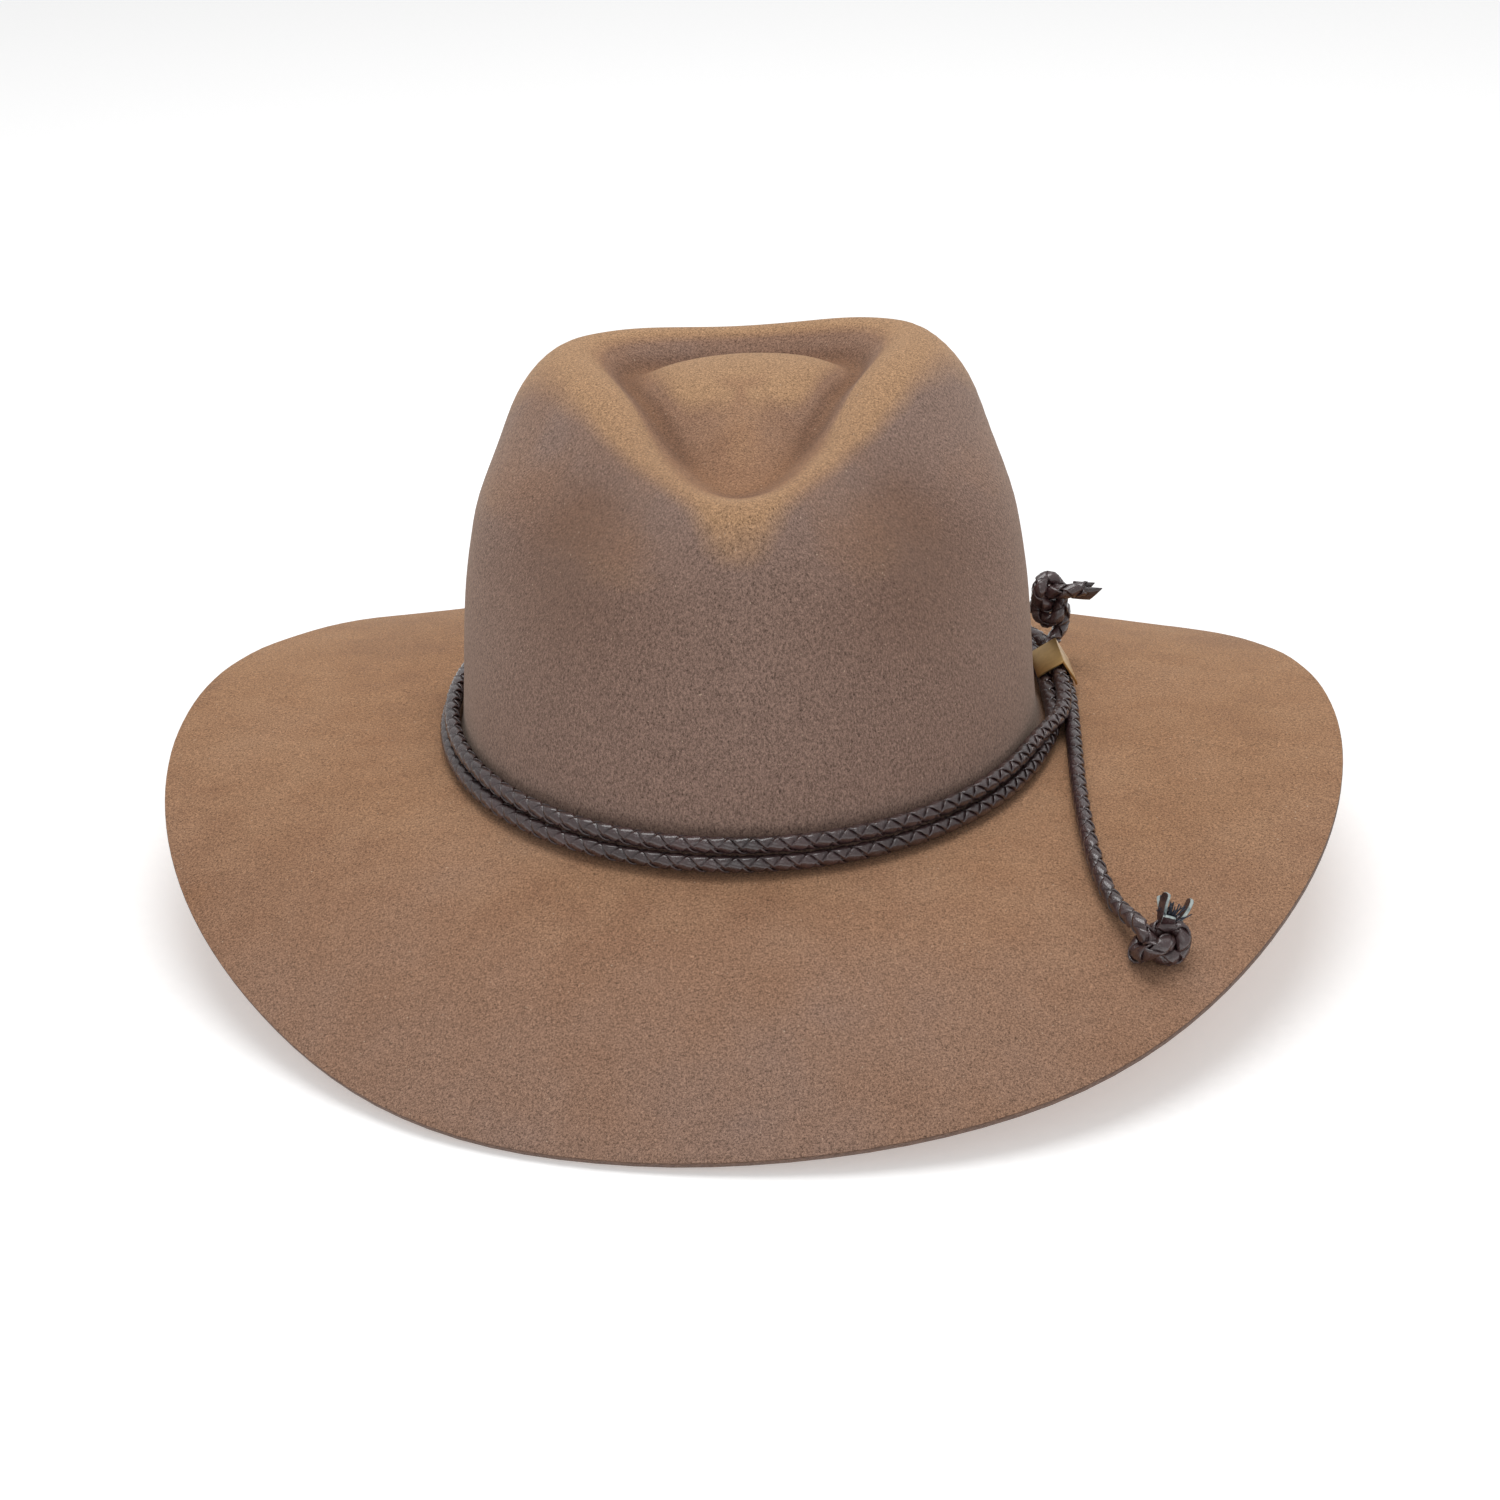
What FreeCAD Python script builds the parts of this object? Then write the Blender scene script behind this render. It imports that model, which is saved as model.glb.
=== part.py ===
import FreeCAD, Part
import Sketcher
import math
import os

# A felt cowboy hat with a teardrop crown, a braided leather hat band and a folded metal slide.
# Frame: +X to the wearer's left, -Y to the front, +Z up. The brim's lowest edge lies on Z = 0
# and the crown's centre line is the Z axis. Millimetres.

V = FreeCAD.Vector
UP = V(0, 0, 1)

doc = FreeCAD.newDocument("cowboy_hat")
sheet = doc.addObject("Spreadsheet::Sheet", "Dimensions")

DIMENSIONS = [
    ("break_height", 43.5, "brim break above the surface the hat stands on"),
    ("crown_half_width", 87.2, "felt at the break, outside, to the side"),
    ("crown_half_length", 104.4, "felt at the break, outside, to the front and back"),
    ("felt_thickness", 2.8, "felt of crown and brim"),
    ("brim_side_width", 90.6, "flat width of the brim at the sides"),
    ("brim_end_width", 98.2, "flat width of the brim at the front and back"),
    ("brim_mean_drop", 21.7, "brim edge below the break, averaged all round"),
    ("brim_dip", 19.0, "extra drop at front and back, and rise at the sides"),
    ("brim_hand_twist", 5.4, "hand-set twist between the two diagonals"),
    ("brim_side_lean", 2.4, "hand-set rise of the wearer's left side"),
    ("brim_end_lean", 1.9, "hand-set difference between front and back"),
    ("brim_corner_lift", 1.3, "lift of the four corners"),
    ("brim_roll_power", 1.6, "how late the brim turns down on its way out"),
    ("brim_fullness", 4.3, "extra width either side of the front"),
    ("brim_fullest_at", 23.0, "degrees from the front where the brim is fullest"),
    ("brim_fullness_spread", 13.0, "degrees over which the fullness fades"),
    ("pinch_at", 52.0, "degrees from the front to the middle of each pinch"),
    ("pinch_spread", 24.0, "degrees over which a pinch fades"),
    ("bump_middle", 105.8, "middle of the crown's top above the break"),
    ("crown_lean", 0.03, "rise of the crown top towards the wearer's left, per mm"),
    ("crown_top", 110.0, "height above the break where the lean is full"),
    ("sweatband_height", 42.4, "leather strip, standing"),
    ("sweatband_thickness", 1.1, "leather strip"),
    ("sweatband_gap", 0.3, "air between leather and felt"),
    ("sweatband_lean_ends", 8.8, "how far the strip's top edge leans in at front and back"),
    ("sweatband_lean_sides", 5.6, "how far the strip's top edge leans in at the sides"),
    ("reed_height", 2.2, "plastic reed in its tape, upright"),
    ("reed_thickness", 1.8, "plastic reed in its tape, across"),
    ("reed_round", 0.6, "rounding of the reed's edges"),
    ("stitch_diameter", 0.7, "sewing thread"),
    ("stitch_length", 4.0, "one stitch"),
    ("stitch_count", 64, "stitches round the head opening"),
    ("bow_loop_length", 13.0, "one loop of the ribbon bow"),
    ("bow_loop_depth", 3.0, "ribbon bow, front to back"),
    ("bow_ribbon_width", 6.0, "ribbon bow"),
    ("bow_ribbon_thickness", 0.4, "ribbon bow"),
    ("bow_knot_width", 4.5, "ribbon bow"),
    ("bow_tail_length", 15.0, "ribbon bow"),
    ("bow_height", 22.0, "ribbon bow's middle above the break"),
    ("lining_gap", 0.9, "air between lining and felt"),
    ("lining_thickness", 0.6, "satin lining with its stay"),
    ("cord_diameter", 4.8, "round braid of four leather laces"),
    ("band_upper_height", 8.3, "upper turn's middle above the break"),
    ("band_upper_offset", 2.8, "upper turn's middle outside the break oval"),
    ("band_lower_height", 3.4, "lower turn's middle above the break"),
    ("band_lower_offset", 4.4, "lower turn's middle outside the break oval"),
    ("lane_gap", 0.05, "air between cords under the slide"),
    ("lane_run_out", 18.0, "straight cord past the slide's travel, to the corner of the route"),
    ("slide_length", 17.0, "folded metal slide, along the cords"),
    ("slide_leg", 9.6, "each face of the slide, from ridge to edge"),
    ("slide_pinch_length", 1.4, "edge strip of each face that is pinched in"),
    ("slide_pinch_angle", 12.0, "how far the edge strips are pinched in"),
    ("slide_metal", 0.7, "sheet the slide is folded from"),
    ("slide_clearance", 0.4, "air between slide and cords"),
    ("slide_travel", 3.0, "how far the slide moves each way"),
    ("slide_ridge_x", 96.5, "front end of the slide's ridge"),
    ("slide_ridge_y", 10.5, "front end of the slide's ridge"),
    ("slide_ridge_height", 12.0, "front end of the slide's ridge above the break"),
    ("slide_yaw", 4.0, "ridge turned with the crown's side"),
    ("slide_pitch", 3.0, "ridge rising to the back"),
    ("slide_roll", 14.0, "faces rolled towards the brim"),
    ("knot_length", 17.0, "pulled-tight overhand knot"),
    ("knot_width", 13.5, "pulled-tight overhand knot"),
    ("knot_depth", 9.0, "pulled-tight overhand knot"),
    ("lace_width", 3.6, "one flat lace of the braid"),
    ("lace_thickness", 1.0, "one flat lace of the braid"),
    ("lace_end_length", 8.0, "loose end of a lace past the lower knot"),
    ("core_diameter", 4.5, "frayed tuft of core threads"),
    ("core_length", 7.0, "frayed tuft of core threads"),
    ("tip_length", 8.0, "slanting cut end above the upper knot"),
]

# Crown sections above the wall are rounded teardrops. Each is given by the reach of its nose and
# sides, the sides' slant in degrees, and the reach of its flanks, rear corners and back; then
# by its height above the break at the front and every 30 degrees round to the back.
TEARDROP_WORDS = ["nose", "side", "slant", "flank", "corner", "back"]
TEARDROP_FIRMNESS = 9
SECTION_ANGLES = [0, 30, 60, 90, 120, 150, 180]
CROWN_SECTIONS = [
    ("shoulder", [93, 56.5, 29, 79, 82, 78], [84.5, 83, 85, 91, 94, 92, 91]),
    ("ridge_outer", [90, 48.5, 27, 73, 75, 70], [93, 92, 95.5, 102.5, 105.5, 104, 101.5]),
    ("ridge_top", [84, 41, 23, 66, 69, 61], [97, 98, 102.5, 108.5, 111.5, 109, 106]),
    ("ridge_inner", [76, 33, 20, 52, 59, 53], [95.5, 97, 101.5, 106.5, 108.5, 105.5, 101.5]),
    ("moat", [67, 27, 20, 43, 50, 45], [91, 93, 96, 98, 98, 96.5, 94.5]),
    ("bump_side", [56, 22.5, 19, 36, 42, 38], [92, 94.5, 98.5, 101, 102, 102, 101.5]),
    ("bump_shoulder", [34, 14.5, 19, 22, 26, 25], [97.5, 99.5, 103, 105.5, 107.5, 108.5, 109]),
    ("bump_top", [10, 7, 19, 8, 8.5, 8.5], [103.5, 104, 105, 106, 107, 107.8, 108]),
]

# The wall below is oval: height above the break, then how far it has drawn in from the break
# oval at the front, at the sides and at the back, and how deep the two hand-pressed pinches are.
WALL_SECTIONS = [
    ("wall_foot", 3.0, -0.3, -0.3, -0.3, 0.0),
    ("wall_cord", 8.0, 0.0, 0.0, 0.0, 0.0),
    ("wall_band", 15.0, 0.7, 0.5, 0.7, 0.0),
    ("wall_low", 27.0, 2.4, 1.3, 2.6, 0.7),
    ("wall_middle", 44.0, 5.0, 2.3, 6.4, 2.8),
    ("wall_high", 60.0, 8.3, 4.2, 12.2, 8.8),
    ("wall_top", 75.0, 11.3, 6.4, 19.5, 16.6),
]
# Across the brim: part of the way from break to edge.
BRIM_STATIONS = [0.03, 0.08, 0.2, 0.4, 0.62, 0.83, 1.0]
# A brim of a given flat width reaches less far the more it drops.
FLAT_SHARE = 1.15
RAYS = 36
SURFACE_DEGREE = 3


def fill_sheet():
    row = 1
    for alias, value, note in DIMENSIONS:
        sheet.set("A%d" % row, note)
        sheet.set("B%d" % row, str(value))
        sheet.setAlias("B%d" % row, alias)
        row += 1
    for name, reaches, heights in CROWN_SECTIONS:
        words = TEARDROP_WORDS + ["height_%d" % angle for angle in SECTION_ANGLES]
        for word, value in zip(words, reaches + heights):
            sheet.set("A%d" % row, "crown section")
            sheet.set("B%d" % row, str(value))
            sheet.setAlias("B%d" % row, "%s_%s" % (name, word))
            row += 1
    doc.recompute()


def size(alias):
    return float(sheet.get(alias))


# ---------------------------------------------------------------- felt surface

def from_front(angle):
    """How far round from the front a direction is, on either side."""
    turned = angle + math.pi / 2
    return min(turned, 2 * math.pi - turned)


def teardrop(angle, nose, side, slant, flank, corner, back):
    """Reach of a rounded teardrop: a blunt nose, straight sides that widen to the rear, a round back."""
    across, rearwards = abs(math.cos(angle)), math.sin(angle)
    slanted = across * math.cos(math.radians(slant)) - rearwards * math.sin(math.radians(slant))
    edges = [
        -rearwards / nose, slanted / side, across / flank,
        (across + rearwards) / math.sqrt(2) / corner, rearwards / back]
    return sum(max(e, 0) ** TEARDROP_FIRMNESS for e in edges) ** (-1 / TEARDROP_FIRMNESS)


def round_the_crown(values, angle):
    """Smooth value at an angle from the front, through the values at SECTION_ANGLES."""
    last = len(values) - 1
    total = 0.0
    for k in range(last + 1):
        coefficient = 0.0
        for j in range(last + 1):
            end = 0.5 if j in (0, last) else 1.0
            coefficient += end * values[j] * math.cos(math.pi * j * k / last)
        coefficient *= (1.0 if k in (0, last) else 2.0) / last
        total += coefficient * math.cos(k * angle)
    return total


def oval_point(half_width, half_length, angle):
    """Point of an oval in the direction of a polar angle, and the oval's outward normal there."""
    t = math.atan2(math.sin(angle) / half_length, math.cos(angle) / half_width)
    point = V(half_width * math.cos(t), half_length * math.sin(t), 0)
    normal = V(half_length * math.cos(t), half_width * math.sin(t), 0)
    return point, normal.normalize(), t


def fading(angle, middle, spread):
    """1 at an angle from the front, in degrees, fading to nothing on both sides."""
    return math.exp(-((math.degrees(from_front(angle)) - middle) / spread) ** 2)


def brim_edge(t, angle):
    """Reach and drop of the brim's edge at an oval parameter and its direction."""
    drop = -size("brim_mean_drop") + size("brim_dip") * math.cos(2 * t)
    drop += size("brim_corner_lift") * math.cos(4 * t) - size("brim_hand_twist") * math.sin(2 * t)
    drop += size("brim_side_lean") * math.cos(t)
    drop += size("brim_end_lean") * (math.sin(t) + math.sin(3 * t))
    middle = (size("brim_side_width") + size("brim_end_width")) / 2
    width = middle + (size("brim_side_width") - size("brim_end_width")) / 2 * math.cos(2 * t)
    width += size("brim_fullness") * fading(angle, size("brim_fullest_at"), size("brim_fullness_spread"))
    return math.sqrt(width ** 2 - FLAT_SHARE * drop ** 2), drop


def ray_angles():
    return [-math.pi / 2 + 2 * math.pi * k / RAYS for k in range(RAYS)]


def outer_rings():
    """Control rings of the felt's outer face, from the brim's edge in and up to the crown's top."""
    base = size("break_height")
    half_width = size("crown_half_width")
    half_length = size("crown_half_length")
    rings = []
    for part_way in reversed(BRIM_STATIONS):
        ring = []
        for angle in ray_angles():
            point, normal, t = oval_point(half_width, half_length, angle)
            reach, drop = brim_edge(t, angle)
            z = base + drop * part_way ** size("brim_roll_power")
            ring.append(point + normal * (reach * part_way) + UP * z)
        rings.append(ring)
    for name, height, front, side, back, pinch in WALL_SECTIONS:
        ring = []
        for angle in ray_angles():
            towards_back = (1 + math.sin(angle)) / 2
            length = half_length - front * (1 - towards_back) - back * towards_back
            point = oval_point(half_width - side, length, angle)[0]
            pressed = pinch * fading(angle, size("pinch_at"), size("pinch_spread"))
            ring.append(point - V(point).normalize() * pressed + UP * (base + height))
        rings.append(ring)
    for name, reaches, heights in CROWN_SECTIONS:
        reaches = [size("%s_%s" % (name, word)) for word in TEARDROP_WORDS]
        heights = [size("%s_height_%d" % (name, a)) for a in SECTION_ANGLES]
        rings.append([
            crown_point(teardrop(angle, *reaches), round_the_crown(heights, from_front(angle)), angle)
            for angle in ray_angles()])
    rings.append([V(0, 0, base + size("bump_middle"))] * RAYS)
    return rings


def crown_point(radius, height, angle):
    x = radius * math.cos(angle)
    lean = size("crown_lean") * x * (height / size("crown_top")) ** 3
    return V(x, radius * math.sin(angle), size("break_height") + height + lean)


def offset_rings(rings, depth):
    """The same rings moved inwards, square to the surface."""
    moved = []
    last = len(rings) - 1
    for i, ring in enumerate(rings):
        new_ring = []
        for k, point in enumerate(ring):
            if i == last:
                new_ring.append(point - UP * depth)
                continue
            before = rings[max(i - 1, 0)][k]
            after = rings[i + 1][k]
            along = after - before
            across = ring[(k + 1) % RAYS] - ring[k - 1]
            normal = across.cross(along).normalize()
            new_ring.append(point - normal * depth)
        moved.append(new_ring)
    return moved


def ring_surface(rings):
    """A face through control rings: closed round the crown, ending on the first and last ring."""
    poles = [[V(p) for p in ring] for ring in rings]
    count = len(poles)
    inner_knots = count - SURFACE_DEGREE
    along_knots = [float(k) for k in range(inner_knots + 1)]
    along_mults = [SURFACE_DEGREE + 1] + [1] * (inner_knots - 1) + [SURFACE_DEGREE + 1]
    round_knots = [float(k) for k in range(RAYS + 1)]
    round_mults = [1] * (RAYS + 1)
    surface = Part.BSplineSurface()
    surface.buildFromPolesMultsKnots(
        poles, along_mults, round_mults, along_knots, round_knots,
        False, True, SURFACE_DEGREE, SURFACE_DEGREE)
    return surface


def edge_curve(ring):
    """The closed curve that a surface ends on at its first or last ring."""
    curve = Part.BSplineCurve()
    curve.buildFromPolesMultsKnots(
        [V(p) for p in ring], [1] * (RAYS + 1), [float(k) for k in range(RAYS + 1)], True, SURFACE_DEGREE)
    return curve.toShape()


def solid_between(outer, inner):
    """Solid of felt or cloth between two sets of rings, closed along the open edges by ruled faces."""
    faces = [ring_surface(outer).toShape(), ring_surface(inner).toShape()]
    faces.append(Part.makeRuledSurface(edge_curve(outer[0]), edge_curve(inner[0])))
    if (outer[-1][0] - outer[-1][1]).Length > 1e-6:
        faces.append(Part.makeRuledSurface(edge_curve(outer[-1]), edge_curve(inner[-1])))
    shell = Part.makeShell(faces)
    shell.sewShape()
    if shell.ShapeType != "Shell":
        shell = shell.Shells[0]
    solid = Part.makeSolid(shell)
    if solid.Volume < 0:
        solid.reverse()
    return solid


def feature(name, shape):
    item = doc.addObject("Part::Feature", name)
    item.Label = name
    item.Shape = shape
    item.Placement = FreeCAD.Placement()
    return item


def make_felt_body():
    rings = outer_rings()
    return feature("felt_body", solid_between(rings, offset_rings(rings, size("felt_thickness"))))


# ---------------------------------------------------------------- sweatband, reed, stitches, bow

def oval_curve(name, inset, lean_ends, lean_sides, height):
    """A level oval, its long axis front to back, set in from the crown's oval."""
    item = doc.addObject("Part::Ellipse", name)
    item.setExpression("MajorRadius", "Dimensions.crown_half_length - (%s) - (%s)" % (inset, lean_ends))
    item.setExpression("MinorRadius", "Dimensions.crown_half_width - (%s) - (%s)" % (inset, lean_sides))
    item.Placement = FreeCAD.Placement(V(0, 0, 0), FreeCAD.Rotation(UP, 90))
    item.setExpression("Placement.Base.z", height)
    return item


def make_sweatband():
    """Leather strip standing inside the crown, leaning in with the felt at its top edge."""
    face = "Dimensions.felt_thickness + Dimensions.sweatband_gap"
    low = "Dimensions.break_height"
    high = low + " + Dimensions.sweatband_height"
    walls = []
    for side, inset in (("outer", face), ("inner", face + " + Dimensions.sweatband_thickness")):
        wall = doc.addObject("Part::Loft", "sweatband_%s_wall" % side)
        wall.Sections = [
            oval_curve("sweatband_%s_low" % side, inset, "0", "0", low),
            oval_curve("sweatband_%s_high" % side, inset, "Dimensions.sweatband_lean_ends",
                       "Dimensions.sweatband_lean_sides", high)]
        wall.Solid = True
        wall.Ruled = True
        walls.append(wall)
    band = doc.addObject("Part::Cut", "sweatband")
    band.Label = "sweatband"
    band.Base = walls[0]
    band.Tool = walls[1]


def oval_ring_sketch(body, name, insets):
    """Two concentric ovals, each set in from the crown's oval by a depth that follows the sheet."""
    sketch = body.newObject("Sketcher::SketchObject", name)
    plane = [f for f in body.Origin.OriginFeatures if f.Role == "XY_Plane"][0]
    sketch.AttachmentSupport = [(plane, "")]
    sketch.MapMode = "FlatFace"
    for word, inset in insets:
        depth = sum(size(alias) for alias in inset)
        long_half = size("crown_half_length") - depth
        short_half = size("crown_half_width") - depth
        curve = sketch.addGeometry(
            Part.Ellipse(V(0, long_half, 0), V(-short_half, 0, 0), V(0, 0, 0)), False)
        sketch.exposeInternalGeometry(curve)
        sketch.addConstraint(Sketcher.Constraint("Coincident", curve, 3, -1, 1))
        sketch.addConstraint(Sketcher.Constraint("Vertical", curve + 1))
        taken = " - ".join("Dimensions." + alias for alias in inset)
        for axis, half, alias in ((1, long_half, "crown_half_length"), (2, short_half, "crown_half_width")):
            number = sketch.addConstraint(Sketcher.Constraint("Distance", curve + axis, 2 * half))
            label = "%s_%s" % (word, alias)
            sketch.renameConstraint(number, label)
            sketch.setExpression("Constraints." + label, "2 * (Dimensions.%s - %s)" % (alias, taken))
    return sketch


def make_sweatband_reed():
    """Stiff reed, sewn into a tape, that the sweatband hangs from at the brim break."""
    body = doc.addObject("PartDesign::Body", "sweatband_reed")
    body.Label = "sweatband_reed"
    face = ["felt_thickness", "sweatband_gap"]
    sketch = oval_ring_sketch(
        body, "reed_outline", [("outer", face), ("inner", face + ["reed_thickness"])])
    pad = body.newObject("PartDesign::Pad", "reed_pad")
    pad.Profile = sketch
    pad.setExpression("Length", "Dimensions.reed_height")
    doc.recompute()
    rounded = body.newObject("PartDesign::Fillet", "reed_rounding")
    rims = ["Edge%d" % (k + 1) for k, edge in enumerate(pad.Shape.Edges) if edge.isClosed()]
    rounded.Base = (pad, rims)
    rounded.setExpression("Radius", "Dimensions.reed_round")
    body.Tip = rounded
    body.setExpression("Placement.Base.z", "Dimensions.break_height - Dimensions.reed_height")
    return body


def make_sweatband_stitches():
    """Thread stitches lying on the underside of the reed's tape, one short run each."""
    radius = size("stitch_diameter") / 2
    inset = size("felt_thickness") + size("sweatband_gap") + size("reed_thickness") / 2
    half_width = size("crown_half_width") - inset
    half_length = size("crown_half_length") - inset
    z = size("break_height") - size("reed_height") - radius
    count = int(size("stitch_count"))
    stitches = []
    for k in range(count):
        point, normal, t = oval_point(half_width, half_length, 2 * math.pi * (k + 0.5) / count)
        along = V(-normal.y, normal.x, 0)
        start = point + UP * z - along * (size("stitch_length") / 2)
        stitches.append(Part.makeCylinder(radius, size("stitch_length"), start, along))
    return feature("sweatband_stitches", Part.makeCompound(stitches))


def make_sweatband_bow():
    """Small ribbon bow over the joint at the back of the sweatband."""
    thickness = size("bow_ribbon_thickness")
    width = size("bow_ribbon_width")
    long_half = size("bow_loop_length") / 2
    deep_half = size("bow_loop_depth") / 2
    top = size("bow_height") + size("bow_ribbon_width") / 2
    lean = size("sweatband_lean_ends") * top / size("sweatband_height")
    wall = size("crown_half_length") - size("felt_thickness") - size("sweatband_gap")
    wall -= size("sweatband_thickness") + lean + size("sweatband_gap")
    middle = V(0, wall - deep_half - 0.6, size("break_height") + size("bow_height"))
    pieces = []
    for side in (-1, 1):
        centre = middle + V(side * (long_half + 1.0), 0, -width / 2)
        ring = Part.Wire(Part.Ellipse(centre, long_half, deep_half).toShape())
        hole = Part.Wire(Part.Ellipse(centre, long_half - thickness, deep_half - thickness).toShape())
        loop = Part.Face(ring).extrude(UP * width).cut(Part.Face(hole).extrude(UP * width))
        pieces.append(loop)
        tail = Part.makeBox(width * 0.8, thickness, size("bow_tail_length"), V(-width * 0.4, 0, 0))
        tail.rotate(V(0, 0, 0), V(0, 1, 0), 180 - side * 28)
        tail.translate(middle + V(side * 1.0, 0.2, -1.0))
        pieces.append(tail)
    knot_width = size("bow_knot_width")
    knot = Part.makeBox(knot_width, 2 * deep_half, width * 0.8)
    knot = knot.makeFillet(0.8, knot.Edges)
    knot.translate(middle - V(knot_width / 2, deep_half, width * 0.4))
    return feature("sweatband_bow", knot.multiFuse(pieces))


# ---------------------------------------------------------------- lining

LINING_FIRST = "wall_middle"
LINING_SEAM = "shoulder"


def ring_names():
    names = ["brim_%d" % k for k in range(len(BRIM_STATIONS))]
    names += [section[0] for section in WALL_SECTIONS]
    names += [section[0] for section in CROWN_SECTIONS]
    return names + ["bump_middle"]


def surface_ring(rings, i):
    """Where the smooth surface runs beside a control ring."""
    return [(rings[i - 1][k] + rings[i][k] * 4 + rings[i + 1][k]) * (1 / 6) for k in range(RAYS)]


def cloth_rings(rings, first, last):
    """Part of a set of rings, cut off on the smooth surface."""
    piece = [surface_ring(rings, first)] + rings[first + 1:last]
    if last < len(rings) - 1:
        return piece + [surface_ring(rings, last)]
    return piece + [rings[-1]]


def make_lining():
    """Satin lining in two pieces: a side strip tucked behind the sweatband and a shaped tip."""
    felt = outer_rings()
    face = size("felt_thickness") + size("lining_gap")
    outside = offset_rings(felt, face)
    inside = offset_rings(felt, face + size("lining_thickness"))
    names = ring_names()
    first = names.index(LINING_FIRST)
    seam = names.index(LINING_SEAM)
    last = len(names) - 1
    for name, low, high in (("lining_side", first, seam), ("lining_tip", seam, last)):
        feature(name, solid_between(cloth_rings(outside, low, high), cloth_rings(inside, low, high)))


# ---------------------------------------------------------------- cords

BAND_STEP = 15
LOWER_TURN = (42, 342)
UPPER_TURN = (40, 340)

# The loose tails, by hand: X, Y and height above the brim break. Each goes on from its lane
# under the slide: the lower one over the brim to its knot, the upper one round and up.
LOWER_TAIL = [
    (97.2, -9.0, 3.0), (96.0, -32.0, 2.9), (94.5, -58.0, 2.5), (94.2, -83.0, 0.8),
    (95.4, -104.0, -2.4), (98.8, -118.5, -6.2), (103.9, -127.9, -9.8)]
UPPER_TAIL = [(96.2, 36.0, 9.6), (98.2, 39.6, 12.6), (97.6, 40.6, 16.0)]
LOWER_KNOT = (108.7, -132.7, -9.8)
UPPER_KNOT = (95.6, 39.6, 21.5)


def above_break(point):
    return V(*point) + UP * size("break_height")


def slide_placement():
    """The slide's own frame: ridge along its Y, both faces falling away from the ridge."""
    turn = FreeCAD.Rotation(UP, size("slide_yaw"))
    turn = turn.multiply(FreeCAD.Rotation(V(1, 0, 0), size("slide_pitch")))
    turn = turn.multiply(FreeCAD.Rotation(V(0, 1, 0), size("slide_roll")))
    start = (size("slide_ridge_x"), size("slide_ridge_y"), size("slide_ridge_height"))
    return FreeCAD.Placement(above_break(start), turn)


def lane(name, along):
    """Middle of a cord under the slide: 'ridge' on top, 'crown' and 'brim' side by side below."""
    deep = size("cord_diameter") / 2 + size("slide_metal") + size("slide_clearance")
    apart = size("cord_diameter") + size("lane_gap")
    side, below = {"ridge": (0, 0), "crown": (-1, 1), "brim": (1, 1)}[name]
    down = deep * math.sqrt(2) + below * apart / math.sqrt(2)
    return slide_placement().multVec(V(side * apart / math.sqrt(2), along, -down))


def band_turn(offset, height, start, end):
    """Corner points of one turn round the crown, standing out so that the cord runs true."""
    count = round((end - start) / BAND_STEP)
    step = (end - start) / count
    reach = 1 / math.cos(math.radians(step / 2))
    points = []
    for k in range(count + 1):
        t = math.radians(start + k * step)
        half_width = (size("crown_half_width") + offset) * reach
        half_length = (size("crown_half_length") + offset) * reach
        points.append(above_break((half_width * math.cos(t), half_length * math.sin(t), height)))
    return points


def slide_ends():
    """Where the two tails part from the band, just outside the slide's travel."""
    spare = size("slide_travel") + 0.5
    return -spare, size("slide_length") + spare


def band_route():
    front, back = slide_ends()
    far = size("lane_run_out")
    route = [lane("brim", front), lane("brim", back + far)]
    route += band_turn(size("band_lower_offset"), size("band_lower_height"), *LOWER_TURN)
    route += [lane("crown", front - far), lane("crown", back + far)]
    route += band_turn(size("band_upper_offset"), size("band_upper_height"), *UPPER_TURN)
    return route + [lane("ridge", front - far), lane("ridge", back)]


def lower_tail_route():
    return [lane("brim", slide_ends()[0])] + [above_break(p) for p in LOWER_TAIL]


def upper_tail_route():
    return [lane("ridge", slide_ends()[1])] + [above_break(p) for p in UPPER_TAIL]


def rounded_wire(points):
    """Straight runs joined by tangent arcs, each as large as its two runs allow."""
    edges = []
    radii = []
    here = points[0]
    for before, corner, after in zip(points, points[1:], points[2:]):
        arriving = corner - before
        leaving = after - corner
        turn = arriving.getAngle(leaving)
        trim = 0.45 * min(arriving.Length, leaving.Length)
        radius = trim / math.tan(turn / 2)
        start = corner - V(arriving).normalize() * trim
        end = corner + V(leaving).normalize() * trim
        inwards = (V(leaving).normalize() - V(arriving).normalize()).normalize()
        middle = corner + inwards * (radius / math.cos(turn / 2) - radius)
        edges.append(Part.LineSegment(here, start).toShape())
        edges.append(Part.Arc(start, middle, end).toShape())
        radii.append(radius)
        here = end
    edges.append(Part.LineSegment(here, points[-1]).toShape())
    return Part.Wire(edges), radii


def cord_tube(name, points):
    """Plain tube of the cord's diameter along a route."""
    wire, radii = rounded_wire(points)
    radius = size("cord_diameter") / 2
    ring = Part.Wire(Part.Circle(points[0], points[1] - points[0], radius).toShape())
    tube = wire.makePipeShell([ring], True, False)
    expected = math.pi * radius ** 2 * wire.Length
    print("%s: length %.1f, volume %.4f of section times length, smallest radii %s" % (
        name, wire.Length, tube.Volume / expected, ["%.0f" % r for r in sorted(radii)[:6]]))
    feature(name, tube)


def make_cords():
    cord_tube("band_cord", band_route())
    cord_tube("band_tail_lower", lower_tail_route())
    cord_tube("band_tail_upper", upper_tail_route())


# ---------------------------------------------------------------- knots and cord ends

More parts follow.
